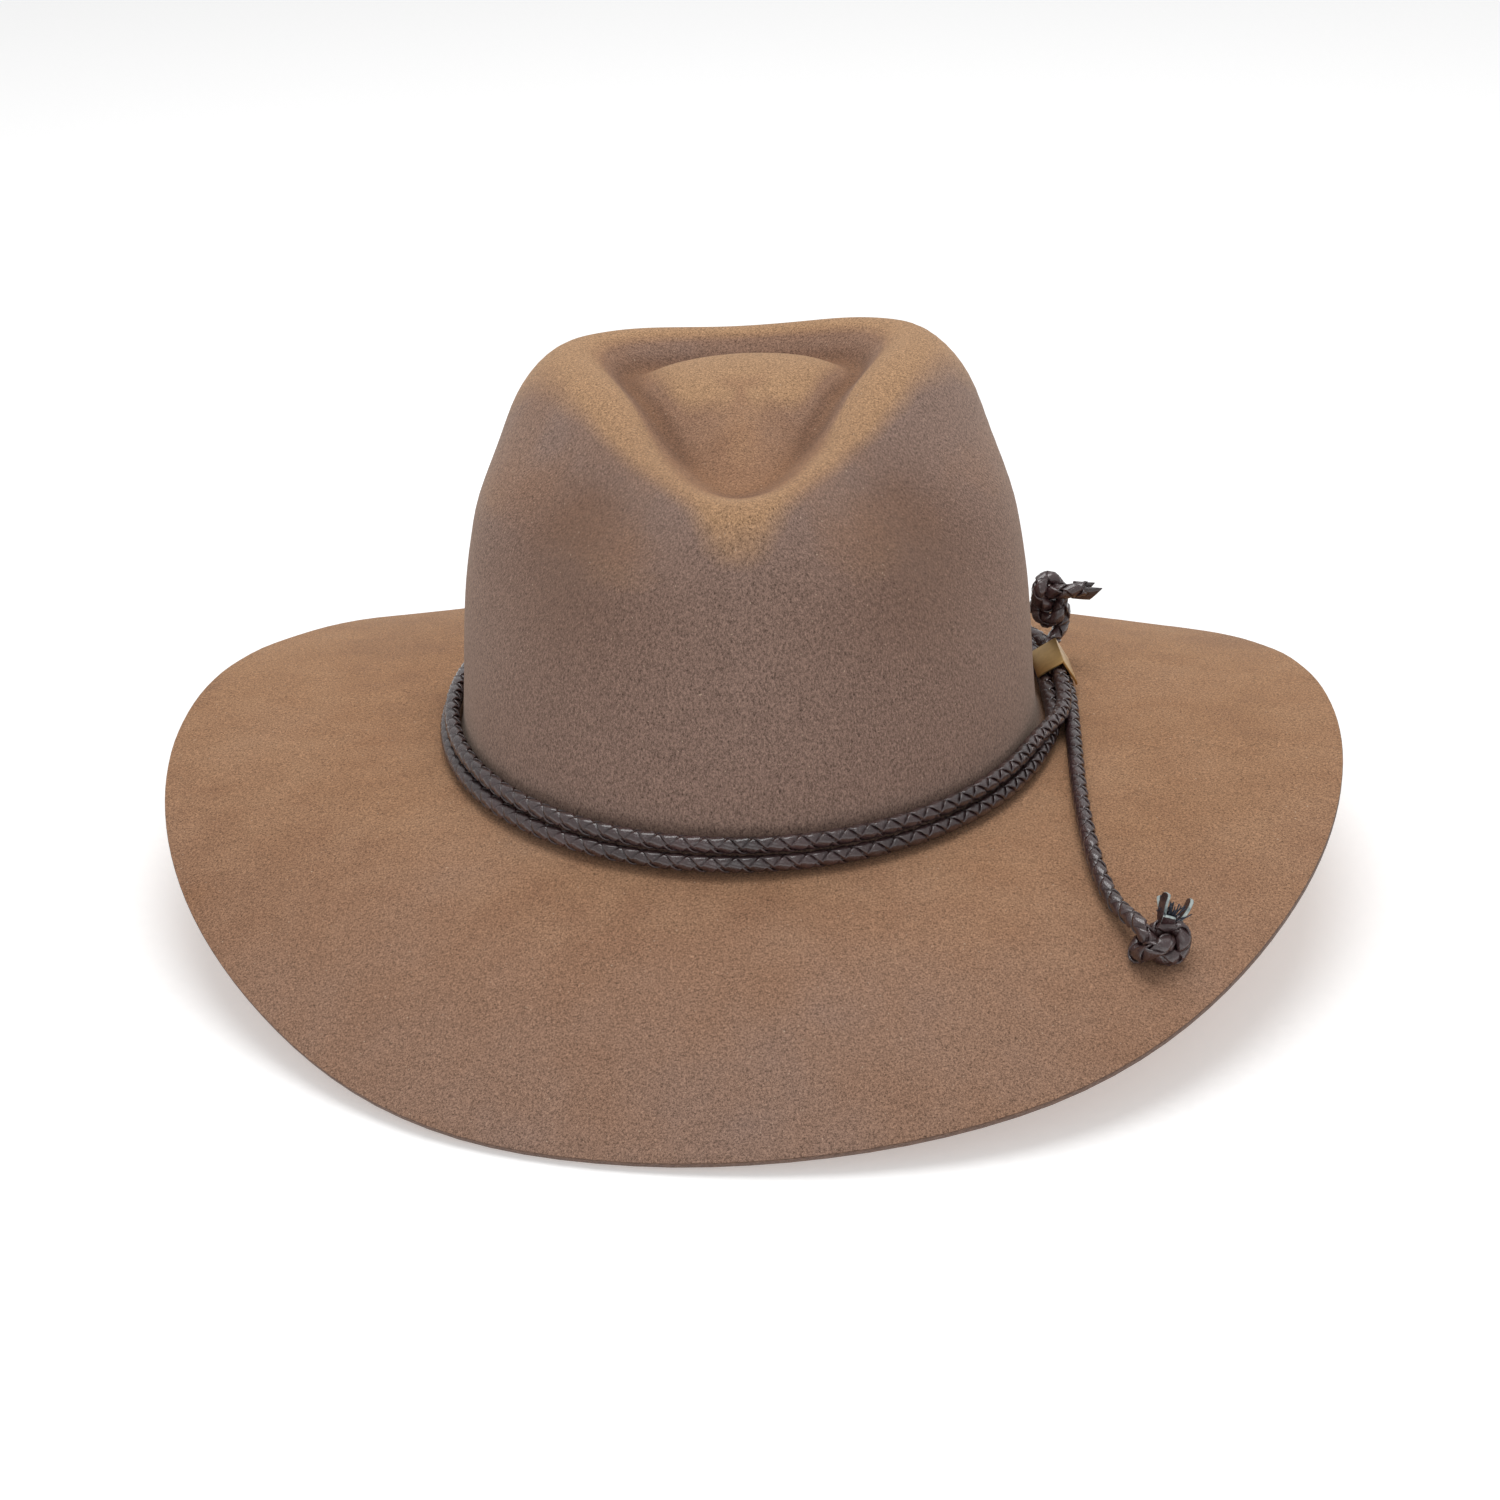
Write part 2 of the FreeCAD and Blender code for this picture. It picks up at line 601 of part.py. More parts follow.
# Square to the brim under the lower knot, and the way its loose ends point.
LOWER_KNOT_UP = V(0.30, -0.30, 0.90)
LOWER_ENDS_WAY = V(0.25, 0.35, 0.90)
LOWER_ENDS_FROM = (111.0, -130.5, -7.0)
UPPER_TIP_FROM = (98.5, 39.6, 26.0)
UPPER_TIP_WAY = V(1.0, -0.1, -0.35)
LACES = 4


def make_knot(name, middle, rotation):
    """Outer form of an overhand knot pulled tight in the braid."""
    knot = doc.addObject("Part::Ellipsoid", name)
    knot.Label = name
    knot.setExpression("Radius1", "Dimensions.knot_depth / 2")
    knot.setExpression("Radius2", "Dimensions.knot_length / 2")
    knot.setExpression("Radius3", "Dimensions.knot_width / 2")
    knot.Placement = FreeCAD.Placement(above_break(middle), rotation)


def make_lace_ends():
    """The braid's four laces, cut off and standing apart round the core past the lower knot."""
    across = size("core_diameter") / 2 + 0.3
    ends = []
    for k in range(LACES):
        strip = Part.makeBox(
            size("lace_width"), size("lace_thickness"), size("lace_end_length"),
            V(-size("lace_width") / 2, across, 0))
        strip.rotate(V(0, across, 0), V(1, 0, 0), -12)
        strip.rotate(V(0, 0, 0), UP, 360 * k / LACES)
        ends.append(strip)
    shape = Part.makeCompound(ends)
    item = feature("knot_lower_lace_ends", shape)
    item.Placement = FreeCAD.Placement(above_break(LOWER_ENDS_FROM), FreeCAD.Rotation(UP, LOWER_ENDS_WAY))


def make_core_threads():
    """Frayed tuft of the threads that the laces are braided round."""
    tuft = doc.addObject("Part::Cone", "knot_lower_core_threads")
    tuft.Label = "knot_lower_core_threads"
    tuft.setExpression("Radius1", "Dimensions.core_diameter / 4")
    tuft.setExpression("Radius2", "Dimensions.core_diameter / 2")
    tuft.setExpression("Height", "Dimensions.core_length")
    tuft.Placement = FreeCAD.Placement(above_break(LOWER_ENDS_FROM), FreeCAD.Rotation(UP, LOWER_ENDS_WAY))


def make_lace_tip():
    """Slanting cut end of the braid, above the upper knot."""
    tip = doc.addObject("Part::Cone", "knot_upper_cut_end")
    tip.Label = "knot_upper_cut_end"
    tip.setExpression("Radius1", "Dimensions.cord_diameter / 2")
    tip.setExpression("Radius2", "Dimensions.cord_diameter / 8")
    tip.setExpression("Height", "Dimensions.tip_length")
    tip.Placement = FreeCAD.Placement(above_break(UPPER_TIP_FROM), FreeCAD.Rotation(UP, UPPER_TIP_WAY))


# ---------------------------------------------------------------- slide

def make_cord_slide():
    """Metal strip folded to a ridge over the three cords, its edges pinched in to hold them."""
    body = doc.addObject("PartDesign::Body", "cord_slide")
    body.Label = "cord_slide"
    sketch = body.newObject("Sketcher::SketchObject", "slide_section")
    plane = [f for f in body.Origin.OriginFeatures if f.Role == "XZ_Plane"][0]
    sketch.AttachmentSupport = [(plane, "")]
    sketch.MapMode = "FlatFace"
    metal = size("slide_metal")
    pinch_from = size("slide_leg") - size("slide_pinch_length")
    fold = math.radians(45)
    lip = math.radians(45 - size("slide_pinch_angle"))
    outer = [(0.0, 0.0)]
    for angle, length in ((fold, pinch_from), (lip, size("slide_pinch_length"))):
        x, z = outer[-1]
        outer.append((x + length * math.sin(angle), z - length * math.cos(angle)))
    inner = [(0.0, -metal * math.sqrt(2))]
    bend = (fold + lip) / 2
    x, z = outer[1]
    inner.append((x - metal * math.cos(bend), z - metal * math.sin(bend)))
    x, z = outer[2]
    inner.append((x - metal * math.cos(lip), z - metal * math.sin(lip)))
    right_half = outer + inner[:0:-1]
    left_half = [(-x, z) for x, z in inner[1:] + outer[:0:-1]]
    outline = right_half + [inner[0]] + left_half
    count = len(outline)
    for k in range(count):
        x1, z1 = outline[k]
        x2, z2 = outline[(k + 1) % count]
        sketch.addGeometry(Part.LineSegment(V(x1, z1, 0), V(x2, z2, 0)), False)
    for k in range(count):
        sketch.addConstraint(Sketcher.Constraint("Coincident", k, 2, (k + 1) % count, 1))
    pad = body.newObject("PartDesign::Pad", "slide_strip")
    pad.Profile = sketch
    pad.setExpression("Length", "Dimensions.slide_length")
    pad.Reversed = True
    body.Tip = pad
    body.Placement = slide_placement()


# ---------------------------------------------------------------- build, check, write

def check_objects():
    for item in doc.Objects:
        if "Invalid" in item.State or "Error" in item.State:
            raise RuntimeError("%s did not compute: %s" % (item.Name, item.State))


def write_parts(names):
    os.makedirs("parts", exist_ok=True)
    for name in names:
        shape = doc.getObject(name).Shape
        if shape.isNull() or not shape.isValid():
            raise RuntimeError("%s has no valid shape" % name)
        shape.exportStep("parts/%s.step" % name)
        box = shape.BoundBox
        print("%-26s solids %2d volume %9.1f x %7.1f %7.1f y %7.1f %7.1f z %7.1f %7.1f" % (
            name, len(shape.Solids), shape.Volume, box.XMin, box.XMax, box.YMin, box.YMax, box.ZMin, box.ZMax))


NODES = [
    "felt_body", "sweatband", "sweatband_reed", "sweatband_stitches", "sweatband_bow",
    "lining_side", "lining_tip",
    "band_cord", "band_tail_lower", "band_tail_upper", "knot_lower", "knot_upper",
    "knot_lower_lace_ends", "knot_lower_core_threads", "knot_upper_cut_end", "cord_slide"]

fill_sheet()
make_felt_body()
make_sweatband()
make_sweatband_reed()
make_sweatband_stitches()
make_sweatband_bow()
make_lining()
make_cords()
make_knot("knot_lower", LOWER_KNOT, FreeCAD.Rotation(V(1, 0.6, 0), V(0, 0, 0), LOWER_KNOT_UP, "ZXY"))
make_knot("knot_upper", UPPER_KNOT, FreeCAD.Rotation(V(0, 0, 1), V(0, 1, 0), V(1, 0, 0), "ZXY"))
make_lace_ends()
make_core_threads()
make_lace_tip()
make_cord_slide()
doc.recompute()
check_objects()
write_parts(NODES)
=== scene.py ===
# %% [markdown]
# A cowboy hat, piece by piece. The hat is one blocked piece of wool felt: a teardrop crown and a wide
# brim. A braided leather cord runs twice round the crown's foot, held by a folded metal slide, and
# its two loose tails end in overhand knots. Inside are a leather sweatband and a satin lining.
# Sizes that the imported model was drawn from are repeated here; everything is in metres.

# %% Load the frame
import bmesh
import bpy
import math
import random
from mathutils import Matrix, Vector, noise


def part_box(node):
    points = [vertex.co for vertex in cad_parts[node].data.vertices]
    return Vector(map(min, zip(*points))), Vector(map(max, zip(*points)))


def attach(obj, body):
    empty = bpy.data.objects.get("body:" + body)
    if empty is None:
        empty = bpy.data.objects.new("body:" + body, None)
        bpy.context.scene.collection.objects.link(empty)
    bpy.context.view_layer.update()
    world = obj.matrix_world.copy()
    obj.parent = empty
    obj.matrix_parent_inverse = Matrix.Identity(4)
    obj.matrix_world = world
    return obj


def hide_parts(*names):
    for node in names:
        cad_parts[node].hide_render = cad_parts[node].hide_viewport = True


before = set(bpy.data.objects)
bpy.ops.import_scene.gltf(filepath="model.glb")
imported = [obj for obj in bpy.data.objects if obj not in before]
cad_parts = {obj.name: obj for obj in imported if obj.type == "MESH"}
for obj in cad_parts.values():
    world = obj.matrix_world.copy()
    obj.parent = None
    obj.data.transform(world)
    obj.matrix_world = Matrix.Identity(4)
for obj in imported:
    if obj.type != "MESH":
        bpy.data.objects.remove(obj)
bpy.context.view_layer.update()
HAT, BAND, SLIDE = "hat", "hat_band", "slide"
MM = 0.001
UP = Vector((0, 0, 1))
reed_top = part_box("sweatband_reed")[1][2]
BREAK = Vector((0, 0, reed_top))

# %% [markdown]
# The camera looks down on the front of the hat, a little from its left. A long lens keeps the brim's
# near edge from swelling, and a slight roll shows how the hat sits. The camera comes first,
# because the cords are checked against what it sees.

# %% Camera
AZIMUTH, ELEVATION, ROLL = math.radians(1.0), math.radians(24.0), math.radians(1.6)
CAMERA_DISTANCE = 0.907
LENS, SENSOR = 71.2, 36.0
AIM_BELOW_BREAK = 0.0102


def add_camera():
    sight = Vector((math.sin(AZIMUTH) * math.cos(ELEVATION), -math.cos(AZIMUTH) * math.cos(ELEVATION),
                    math.sin(ELEVATION)))
    data = bpy.data.cameras.new("camera")
    camera = bpy.data.objects.new("camera", data)
    bpy.context.collection.objects.link(camera)
    turn = sight.to_track_quat("Z", "Y") @ Matrix.Rotation(-ROLL, 3, "Z").to_quaternion()
    picture_up = turn @ Vector((0, 1, 0))
    camera.matrix_world = Matrix.LocRotScale(
        BREAK + sight * CAMERA_DISTANCE - picture_up * AIM_BELOW_BREAK, turn, None)
    data.lens = LENS
    data.sensor_width = SENSOR
    bpy.context.scene.camera = camera
    print("camera at", [round(v, 3) for v in camera.location])


add_camera()

# %% [markdown]
# The hat band is one braided cord, about a metre and a half of it: a knot, a loose tail over the brim,
# two turns round the crown, and a second knot. It passes under the slide before the first turn, between
# the turns and after the last. A cord is a fixed length of something flexible, so its line is settled
# before its look. The line is a smooth NURBS curve. The tails' control points are listed; the
# turns come from a loop, because a winding repeats.

# %% The cord's route
CORD = 4.8 * MM
LANE_GAP = 0.05 * MM
SLIDE_METAL, SLIDE_CLEARANCE, SLIDE_LENGTH, SLIDE_TRAVEL = 0.7 * MM, 0.4 * MM, 17 * MM, 3 * MM
SLIDE_START = Vector((96.5, 10.5, 12.0)) * MM
SLIDE_YAW, SLIDE_PITCH, SLIDE_ROLL = math.radians(4), math.radians(3), math.radians(14)
LANE_RUN_OUT = 18 * MM
CROWN_HALF = Vector((87.2, 104.4, 0)) * MM
BAND_STEP = 15
TURNS = {"lower": (4.4 * MM, 3.4 * MM, 42, 342), "upper": (2.8 * MM, 8.3 * MM, 40, 340)}
LOWER_TAIL = [
    (97.2, -9.0, 3.0), (96.0, -32.0, 2.9), (94.5, -58.0, 2.5), (94.2, -83.0, 0.8),
    (95.4, -104.0, -2.4), (98.8, -118.5, -6.2)]
UPPER_TAIL = [(96.2, 36.0, 9.6), (98.6, 39.6, 12.4)]


def above_break(points):
    return [BREAK + Vector(p) * MM for p in points]


def slide_matrix():
    turn = Matrix.Rotation(SLIDE_YAW, 4, "Z") @ Matrix.Rotation(SLIDE_PITCH, 4, "X")
    turn = turn @ Matrix.Rotation(SLIDE_ROLL, 4, "Y")
    return Matrix.Translation(BREAK + SLIDE_START) @ turn


def lane(name, along):
    """Middle of a cord under the slide: one on top, under the ridge, and two side by side below."""
    deep = CORD / 2 + SLIDE_METAL + SLIDE_CLEARANCE
    apart = CORD + LANE_GAP
    side, below = {"ridge": (0, 0), "crown": (-1, 1), "brim": (1, 1)}[name]
    down = (deep * 2 + below * apart) / math.sqrt(2)
    return slide_matrix() @ Vector((side * apart / math.sqrt(2), along, -down))


def band_turn(offset, height, start, end):
    count = round((end - start) / BAND_STEP)
    step = (end - start) / count
    reach = 1 / math.cos(math.radians(step / 2))
    points = []
    for k in range(count + 1):
        t = math.radians(start + k * step)
        around = Vector(((CROWN_HALF.x + offset) * math.cos(t), (CROWN_HALF.y + offset) * math.sin(t), 0))
        points.append(BREAK + around * reach + UP * height)
    return points


FRONT_END = -(SLIDE_TRAVEL + 0.5 * MM)
BACK_END = SLIDE_LENGTH + SLIDE_TRAVEL + 0.5 * MM


def band_route():
    route = [lane("brim", FRONT_END), lane("brim", BACK_END + LANE_RUN_OUT)]
    route += band_turn(*TURNS["lower"])
    route += [lane("crown", FRONT_END - LANE_RUN_OUT), lane("crown", BACK_END + LANE_RUN_OUT)]
    route += band_turn(*TURNS["upper"])
    return route + [lane("ridge", FRONT_END - LANE_RUN_OUT), lane("ridge", BACK_END + 1.5 * MM)]


# %% [markdown]
# An overhand knot is a trefoil cut open at one lobe. The formula of a trefoil gives its turns; the
# lobes are drawn in, as they are when the knot is pulled tight, and the crossings stand
# apart by about a cord's thickness. The two ends leave side by side.

# %% Knot turns
KNOT_POINTS = 17
KNOT_CUT = 35
KNOT_TIGHT = 0.2
KNOT_SOFTNESS = 0.15


def knot_turns(centre, ends_way, across, reach, rise):
    """Control points of an overhand knot whose two ends leave towards ends_way."""
    down = -ends_way.normalized()
    side = (across - across.project(down)).normalized()
    out = side.cross(down)
    points = []
    for k in range(KNOT_POINTS):
        t = math.radians(180 + KNOT_CUT + (360 - 2 * KNOT_CUT) * k / (KNOT_POINTS - 1))
        x = math.sin(t) + 2 * math.sin(2 * t)
        y = math.cos(t) - 2 * math.cos(2 * t)
        q = math.sin(3 * t)
        z = -q / math.sqrt(q * q + KNOT_SOFTNESS) * math.sqrt(1 + KNOT_SOFTNESS)
        drawn_in = 1 - KNOT_TIGHT * (math.hypot(x, y) - 1) / 2
        points.append(centre + (side * x + down * y) * drawn_in * reach + out * z * rise)
    return points


LOWER_KNOT = BREAK + Vector((108.7, -132.7, -9.6)) * MM
LOWER_KNOT_ENDS, LOWER_KNOT_ACROSS = Vector((-0.35, 0.85, 0.35)), Vector((-1, -0.3, 0))
LOWER_CUT = (112.5, -128.5, -5.0)
UPPER_KNOT = BREAK + Vector((95.6, 39.6, 21.0)) * MM
UPPER_KNOT_ENDS, UPPER_KNOT_ACROSS = Vector((1, 0, 0)), Vector((0, 0, -1))
UPPER_CUT = (105.5, 39.0, 24.5)
KNOT_REACH, KNOT_RISE = 2.9 * MM, 2.6 * MM


def cord_route():
    lower_knot = knot_turns(LOWER_KNOT, LOWER_KNOT_ENDS, LOWER_KNOT_ACROSS, KNOT_REACH, KNOT_RISE)
    upper_knot = knot_turns(UPPER_KNOT, UPPER_KNOT_ENDS, UPPER_KNOT_ACROSS, KNOT_REACH, KNOT_RISE)
    tail = above_break(LOWER_TAIL) + lower_knot + above_break([LOWER_CUT])
    route = tail[::-1] + band_route() + above_break(UPPER_TAIL) + upper_knot
    return route + above_break([UPPER_CUT])


def centre_line(points, spacing):
    """Evenly spaced points along the smooth line of a route."""
    curve = bpy.data.curves.new("route", "CURVE")
    curve.dimensions = "3D"
    curve.resolution_u = 24
    spline = curve.splines.new("NURBS")
    spline.points.add(len(points) - 1)
    for control, point in zip(spline.points, points):
        control.co = (*point, 1)
    spline.order_u = 3
    spline.use_endpoint_u = True
    carrier = bpy.data.objects.new("route", curve)
    mesh = bpy.data.meshes.new_from_object(carrier)
    line = [v.co.copy() for v in mesh.vertices]
    bpy.data.objects.remove(carrier)
    bpy.data.meshes.remove(mesh)
    walked = [0.0]
    for a, b in zip(line, line[1:]):
        walked.append(walked[-1] + (b - a).length)
    count = round(walked[-1] / spacing)
    even = []
    i = 0
    for k in range(count + 1):
        goal = walked[-1] * k / count
        while i < len(line) - 2 and walked[i + 1] < goal:
            i += 1
        share = (goal - walked[i]) / max(walked[i + 1] - walked[i], 1e-9)
        even.append(line[i].lerp(line[i + 1], min(share, 1)))
    return even, walked[-1]


# %% [markdown]
# The braid is a four-strand round braid: two laces wind to the left and two to the right, and each
# passes over one and under the next. Every lace is a flat strip of oval section swept along its
# own winding line, so the V pattern is real geometry and not a bump.

# %% Braided laces
BRAID_PITCH = 13 * MM
BRAID_STEPS = 18
LACE_WIDTH, LACE_THICKNESS = 4.1 * MM, 1.15 * MM
LACE_WEAVE = 0.5 * MM
LACE_SIDES = 8


def frames_along(line):
    """A tangent and two steady cross directions at each point of a line."""
    tangents = []
    for i in range(len(line)):
        tangents.append((line[min(i + 1, len(line) - 1)] - line[max(i - 1, 0)]).normalized())
    side = tangents[0].orthogonal().normalized()
    frames = []
    for tangent in tangents:
        side = (side - side.project(tangent)).normalized()
        frames.append((tangent, side, tangent.cross(side)))
    return frames


def lace_line(line, frames, spacing, hand, start):
    """One lace's own line, winding round the cord's middle, over and under the others."""
    middle = CORD / 2 - LACE_WEAVE - LACE_THICKNESS / 2
    points = []
    outwards = []
    for i, (tangent, side, other) in enumerate(frames):
        turn = 2 * math.pi * i * spacing / BRAID_PITCH
        angle = hand * turn + start
        out = side * math.cos(angle) + other * math.sin(angle)
        points.append(line[i] + out * (middle + hand * LACE_WEAVE * math.cos(2 * turn)))
        outwards.append(out)
    return points, outwards


def sweep_lace(bm, uv, points, outwards, width, thickness):
    """A strip of oval section along a line, closed at both ends."""
    rings = []
    walked = 0.0
    for i, point in enumerate(points):
        ahead = points[min(i + 1, len(points) - 1)]
        behind = points[max(i - 1, 0)]
        along = (ahead - behind).normalized()
        out = (outwards[i] - outwards[i].project(along)).normalized()
        across = along.cross(out)
        walked += (point - behind).length
        ring = []
        for k in range(LACE_SIDES):
            a = 2 * math.pi * k / LACE_SIDES
            corner = point + across * math.cos(a) * width / 2 + out * math.sin(a) * thickness / 2
            ring.append(bm.verts.new(corner))
        rings.append((ring, walked))
    for (ring, here), (following, there) in zip(rings, rings[1:]):
        for k in range(LACE_SIDES):
            n = (k + 1) % LACE_SIDES
            face = bm.faces.new((ring[k], ring[n], following[n], following[k]))
            face.smooth = True
            left, right = k / LACE_SIDES, (k + 1) / LACE_SIDES
            places = ((left, here), (right, here), (right, there), (left, there))
            for loop, place in zip(face.loops, places):
                loop[uv].uv = (place[0], place[1] / LACE_WIDTH)
    bm.faces.new(rings[0][0][::-1])
    bm.faces.new(rings[-1][0])


def finish_mesh(bm, name, material):
    mesh = bpy.data.meshes.new(name)
    bmesh.ops.recalc_face_normals(bm, faces=bm.faces)
    bm.to_mesh(mesh)
    bm.free()
    piece = bpy.data.objects.new(name, mesh)
    bpy.context.collection.objects.link(piece)
    mesh.materials.append(material)
    return piece


def braid(name, route, material):
    spacing = BRAID_PITCH / BRAID_STEPS
    line, length = centre_line(route, spacing)
    spacing = length / (len(line) - 1)
    frames = frames_along(line)
    bm = bmesh.new()
    uv = bm.loops.layers.uv.new("lace")
    for hand in (1, -1):
        for start in (0, math.pi):
            points, outwards = lace_line(line, frames, spacing, hand, start)
            sweep_lace(bm, uv, points, outwards, LACE_WIDTH, LACE_THICKNESS)
    piece = finish_mesh(bm, name, material)
    print(name, "length", round(length, 4), "faces", len(piece.data.polygons))
    return piece, line


# %% [markdown]
# Shader maths reads best as plain arithmetic. A small class wraps an output socket and turns + - *
# into Math nodes, and one method adds any other node: its settings first, then its sockets.

# %% Finishes: a helper for materials
class Wire:
    """An output socket. Arithmetic on it adds Math nodes to its finish."""

    def __init__(self, finish, socket):
        self.finish = finish
        self.socket = socket

    def maths(self, operation, first, second):
        return self.finish.add("Math", {"operation": operation}, {0: first, 1: second})

    def __add__(self, other):
        return self.maths("ADD", self, other)

    def __sub__(self, other):
        return self.maths("SUBTRACT", self, other)

    def __rsub__(self, other):
        return self.maths("SUBTRACT", other, self)

    def __mul__(self, other):
        return self.maths("MULTIPLY", self, other)


def set_stops(ramp, stops):
    while len(ramp.elements) < len(stops):
        ramp.elements.new(1.0)
    for element, (place, colour) in zip(ramp.elements, stops):
        element.position = place
        element.color = colour


class Finish:
    """A material made of nodes."""

    def __init__(self, name, **constants):
        self.material = bpy.data.materials.new(name)
        self.material.use_nodes = True
        self.tree = self.material.node_tree
        self.shader = self.tree.nodes["Principled BSDF"]
        for word, value in constants.items():
            self.shader.inputs[word.replace("_", " ").title().replace("Ior", "IOR")].default_value = value

    def add(self, kind, settings=None, sockets=None, output=0):
        node = self.tree.nodes.new("ShaderNode" + kind)
        for word, value in (settings or {}).items():
            if word == "stops":
                set_stops(node.color_ramp, value)
            else:
                setattr(node, word, value)
        for word, value in (sockets or {}).items():
            self.feed(node.inputs[word], value)
        return Wire(self, node.outputs[output])

    def feed(self, socket, value):
        if isinstance(value, Wire):
            self.tree.links.new(value.socket, socket)
        else:
            socket.default_value = value

    def place(self, stretch=(1, 1, 1)):
        coordinates = self.add("TexCoord", output="Object")
        return self.add("Mapping", None, {"Vector": coordinates, "Scale": stretch})

    def noise(self, where, scale, detail=2.0, roughness=0.5):
        return self.add("TexNoise", None, {
            "Vector": where, "Scale": scale, "Detail": detail, "Roughness": roughness}, "Fac")

    def ramp(self, value, *stops):
        return self.add("ValToRGB", {"stops": stops}, {"Fac": value})

    def spread(self, value, low, high):
        return self.add("MapRange", None, {"Value": value, "From Min": low, "From Max": high})

    def mix(self, share, first, second):
        return self.add("Mix", {"data_type": "RGBA"}, {0: share, 6: first, 7: second}, 2)

    def attribute(self, name):
        return self.add("Attribute", {"attribute_name": name}, output="Fac")

    def bump(self, height, distance, strength=1.0):
        return self.add("Bump", None, {"Height": height, "Distance": distance, "Strength": strength})

    def surface(self, **sockets):
        for word, value in sockets.items():
            self.feed(self.shader.inputs[word.replace("_", " ").title()], value)
        return self.material


def shade(red, green, blue):
    """An everyday 0-255 colour as the linear values that shaders use, with alpha."""
    linear = [((c / 255 + 0.055) / 1.055) ** 2.4 if c > 10 else c / 255 / 12.92 for c in (red, green, blue)]
    return (*linear, 1)


# %% [markdown]
# Fur felt is a mat of fine hairs, so it has no weave. Up close it is speckled; from further off it
# is mottled where the nap lies one way or another. Folds stand out lighter and warmer, partly from
# handling wear and partly as a painted highlight. Faces turned away from the light get a painted grey
# shade, and creases and the pinched hollows get a darker painted shade. Three attributes on the mesh say
# where the folds, the steep faces and the hollows are, so this painted light and shade stays fixed to
# the hat.

# %% Felt finish
# The first two are the felt's own mottled tones. The grey brown is painted shade for faces turned away from
# the light, the worn tan is handling wear with a painted highlight, and the hollow brown is painted shade in
# creases and the pinched hollows.
WARM_TAN, FELT_BROWN, SHADED_GREY_BROWN = shade(176, 131, 95), shade(154, 115, 88), shade(145, 120, 108)
WORN_AND_HIGHLIT_TAN, HOLLOW_PAINTED_SHADE, PALE_FLECK = shade(182, 144, 110), shade(108, 78, 62), shade(226, 200, 175)


def make_felt_finish():
    felt = Finish("fur_felt", roughness=0.95, sheen_weight=0.22, sheen_roughness=0.45,
                  sheen_tint=(1.0, 0.86, 0.72, 1), specular_ior_level=0.12)
    where = felt.place()
    combed = felt.place((1.0, 1.0, 0.6))
    mottle = felt.noise(where, 18, 3, 0.55)
    cloud = felt.noise(where, 70, 3, 0.6)
    nap = felt.noise(combed, 1600, 2, 0.7)
    hair = felt.noise(combed, 3600, 1, 0.6)
    steep = felt.attribute("steep")
    fold = felt.attribute("fold")
    pinch = felt.attribute("pinch")
    tan = felt.mix(felt.spread(mottle * 0.7 + cloud * 0.3, 0.36, 0.64), FELT_BROWN, WARM_TAN)
    # Painted shade: faces turned away from the light are drawn greyer.
    painted_shade_greyness = felt.spread(steep * 1.1 + mottle * 0.7 + cloud * 0.2, 0.5, 1.1)
    cloth = felt.mix(painted_shade_greyness, tan, SHADED_GREY_BROWN)
    # Handling wear with a painted highlight: upturned folds that face the light are drawn lighter and warmer.
    wear_and_highlight = felt.mix(felt.spread(fold + cloud * 0.3 - steep * 0.9, 0.0, 0.6), cloth, WORN_AND_HIGHLIT_TAN)
    # Painted shade: creases and the pinched hollows are drawn darker.
    with_hollow_shade = felt.mix(felt.spread(0.0 - fold, 0.1, 0.9) * 0.55 + pinch * 0.7, wear_and_highlight, HOLLOW_PAINTED_SHADE)
    speckle = felt.spread(nap * 0.55 + hair * 0.45, 0.3, 0.7)
    speckled = felt.add("VectorMath", {"operation": "SCALE"}, {0: with_hollow_shade, "Scale": speckle * 1.5 + 0.25})
    flecks = felt.spread(felt.noise(where, 1300, 1, 0.5), 0.74, 0.80)
    rough_nap = nap * 0.5 + hair * 0.35 + cloud * 0.25
    return felt.surface(base_color=felt.mix(flecks * 0.6, speckled, PALE_FLECK),
                        normal=felt.bump(rough_nap, 0.0005, 0.6))


def make_cut_edge_finish():
    edge = Finish("cut_felt_edge", roughness=0.97, sheen_weight=0.2, specular_ior_level=0.1)
    layers = edge.noise(edge.place((1, 1, 3.0)), 700, 3, 0.7)
    colour = edge.ramp(layers, (0.3, shade(84, 64, 56)), (0.7, shade(132, 104, 88)))
    return edge.surface(base_color=colour, normal=edge.bump(layers, 0.0005, 0.7))


FELT = make_felt_finish()
CUT_EDGE = make_cut_edge_finish()
print("felt nodes", len(FELT.node_tree.nodes))

# %% [markdown]
# The felt body is one piece on the real hat: a cone of felt, steamed and pulled over a block, then
# creased by hand. It is modelled the way it is blocked. A ring at the brim's edge is extruded
# inwards and up, ring by ring, and each ring takes the shape of that level: an oval for brim and
# wall, and a rounded teardrop for the crown's crease. A subdivision surface gives the steamed
# smoothness, and Solidify gives the felt its thickness.

# %% The hat's levels
RAYS = 36
FELT_THICKNESS = 2.8 * MM
BRIM_SIDE, BRIM_END = 90.6 * MM, 98.2 * MM
BRIM_DROP, BRIM_DIP, BRIM_TWIST, BRIM_LEAN, BRIM_END_LEAN, BRIM_CORNER = (
    value * MM for value in (21.7, 19.0, 5.4, 2.4, 1.9, 1.3))
BRIM_ROLL = 1.6
BRIM_FULLNESS, FULLEST_AT, FULLNESS_SPREAD = 4.3 * MM, math.radians(23), math.radians(13)
FLAT_SHARE = 1.15
CROWN_LEAN, CROWN_TOP = 0.03, 110.0
BRIM_STATIONS = [0.03, 0.08, 0.2, 0.4, 0.62, 0.83, 1.0]
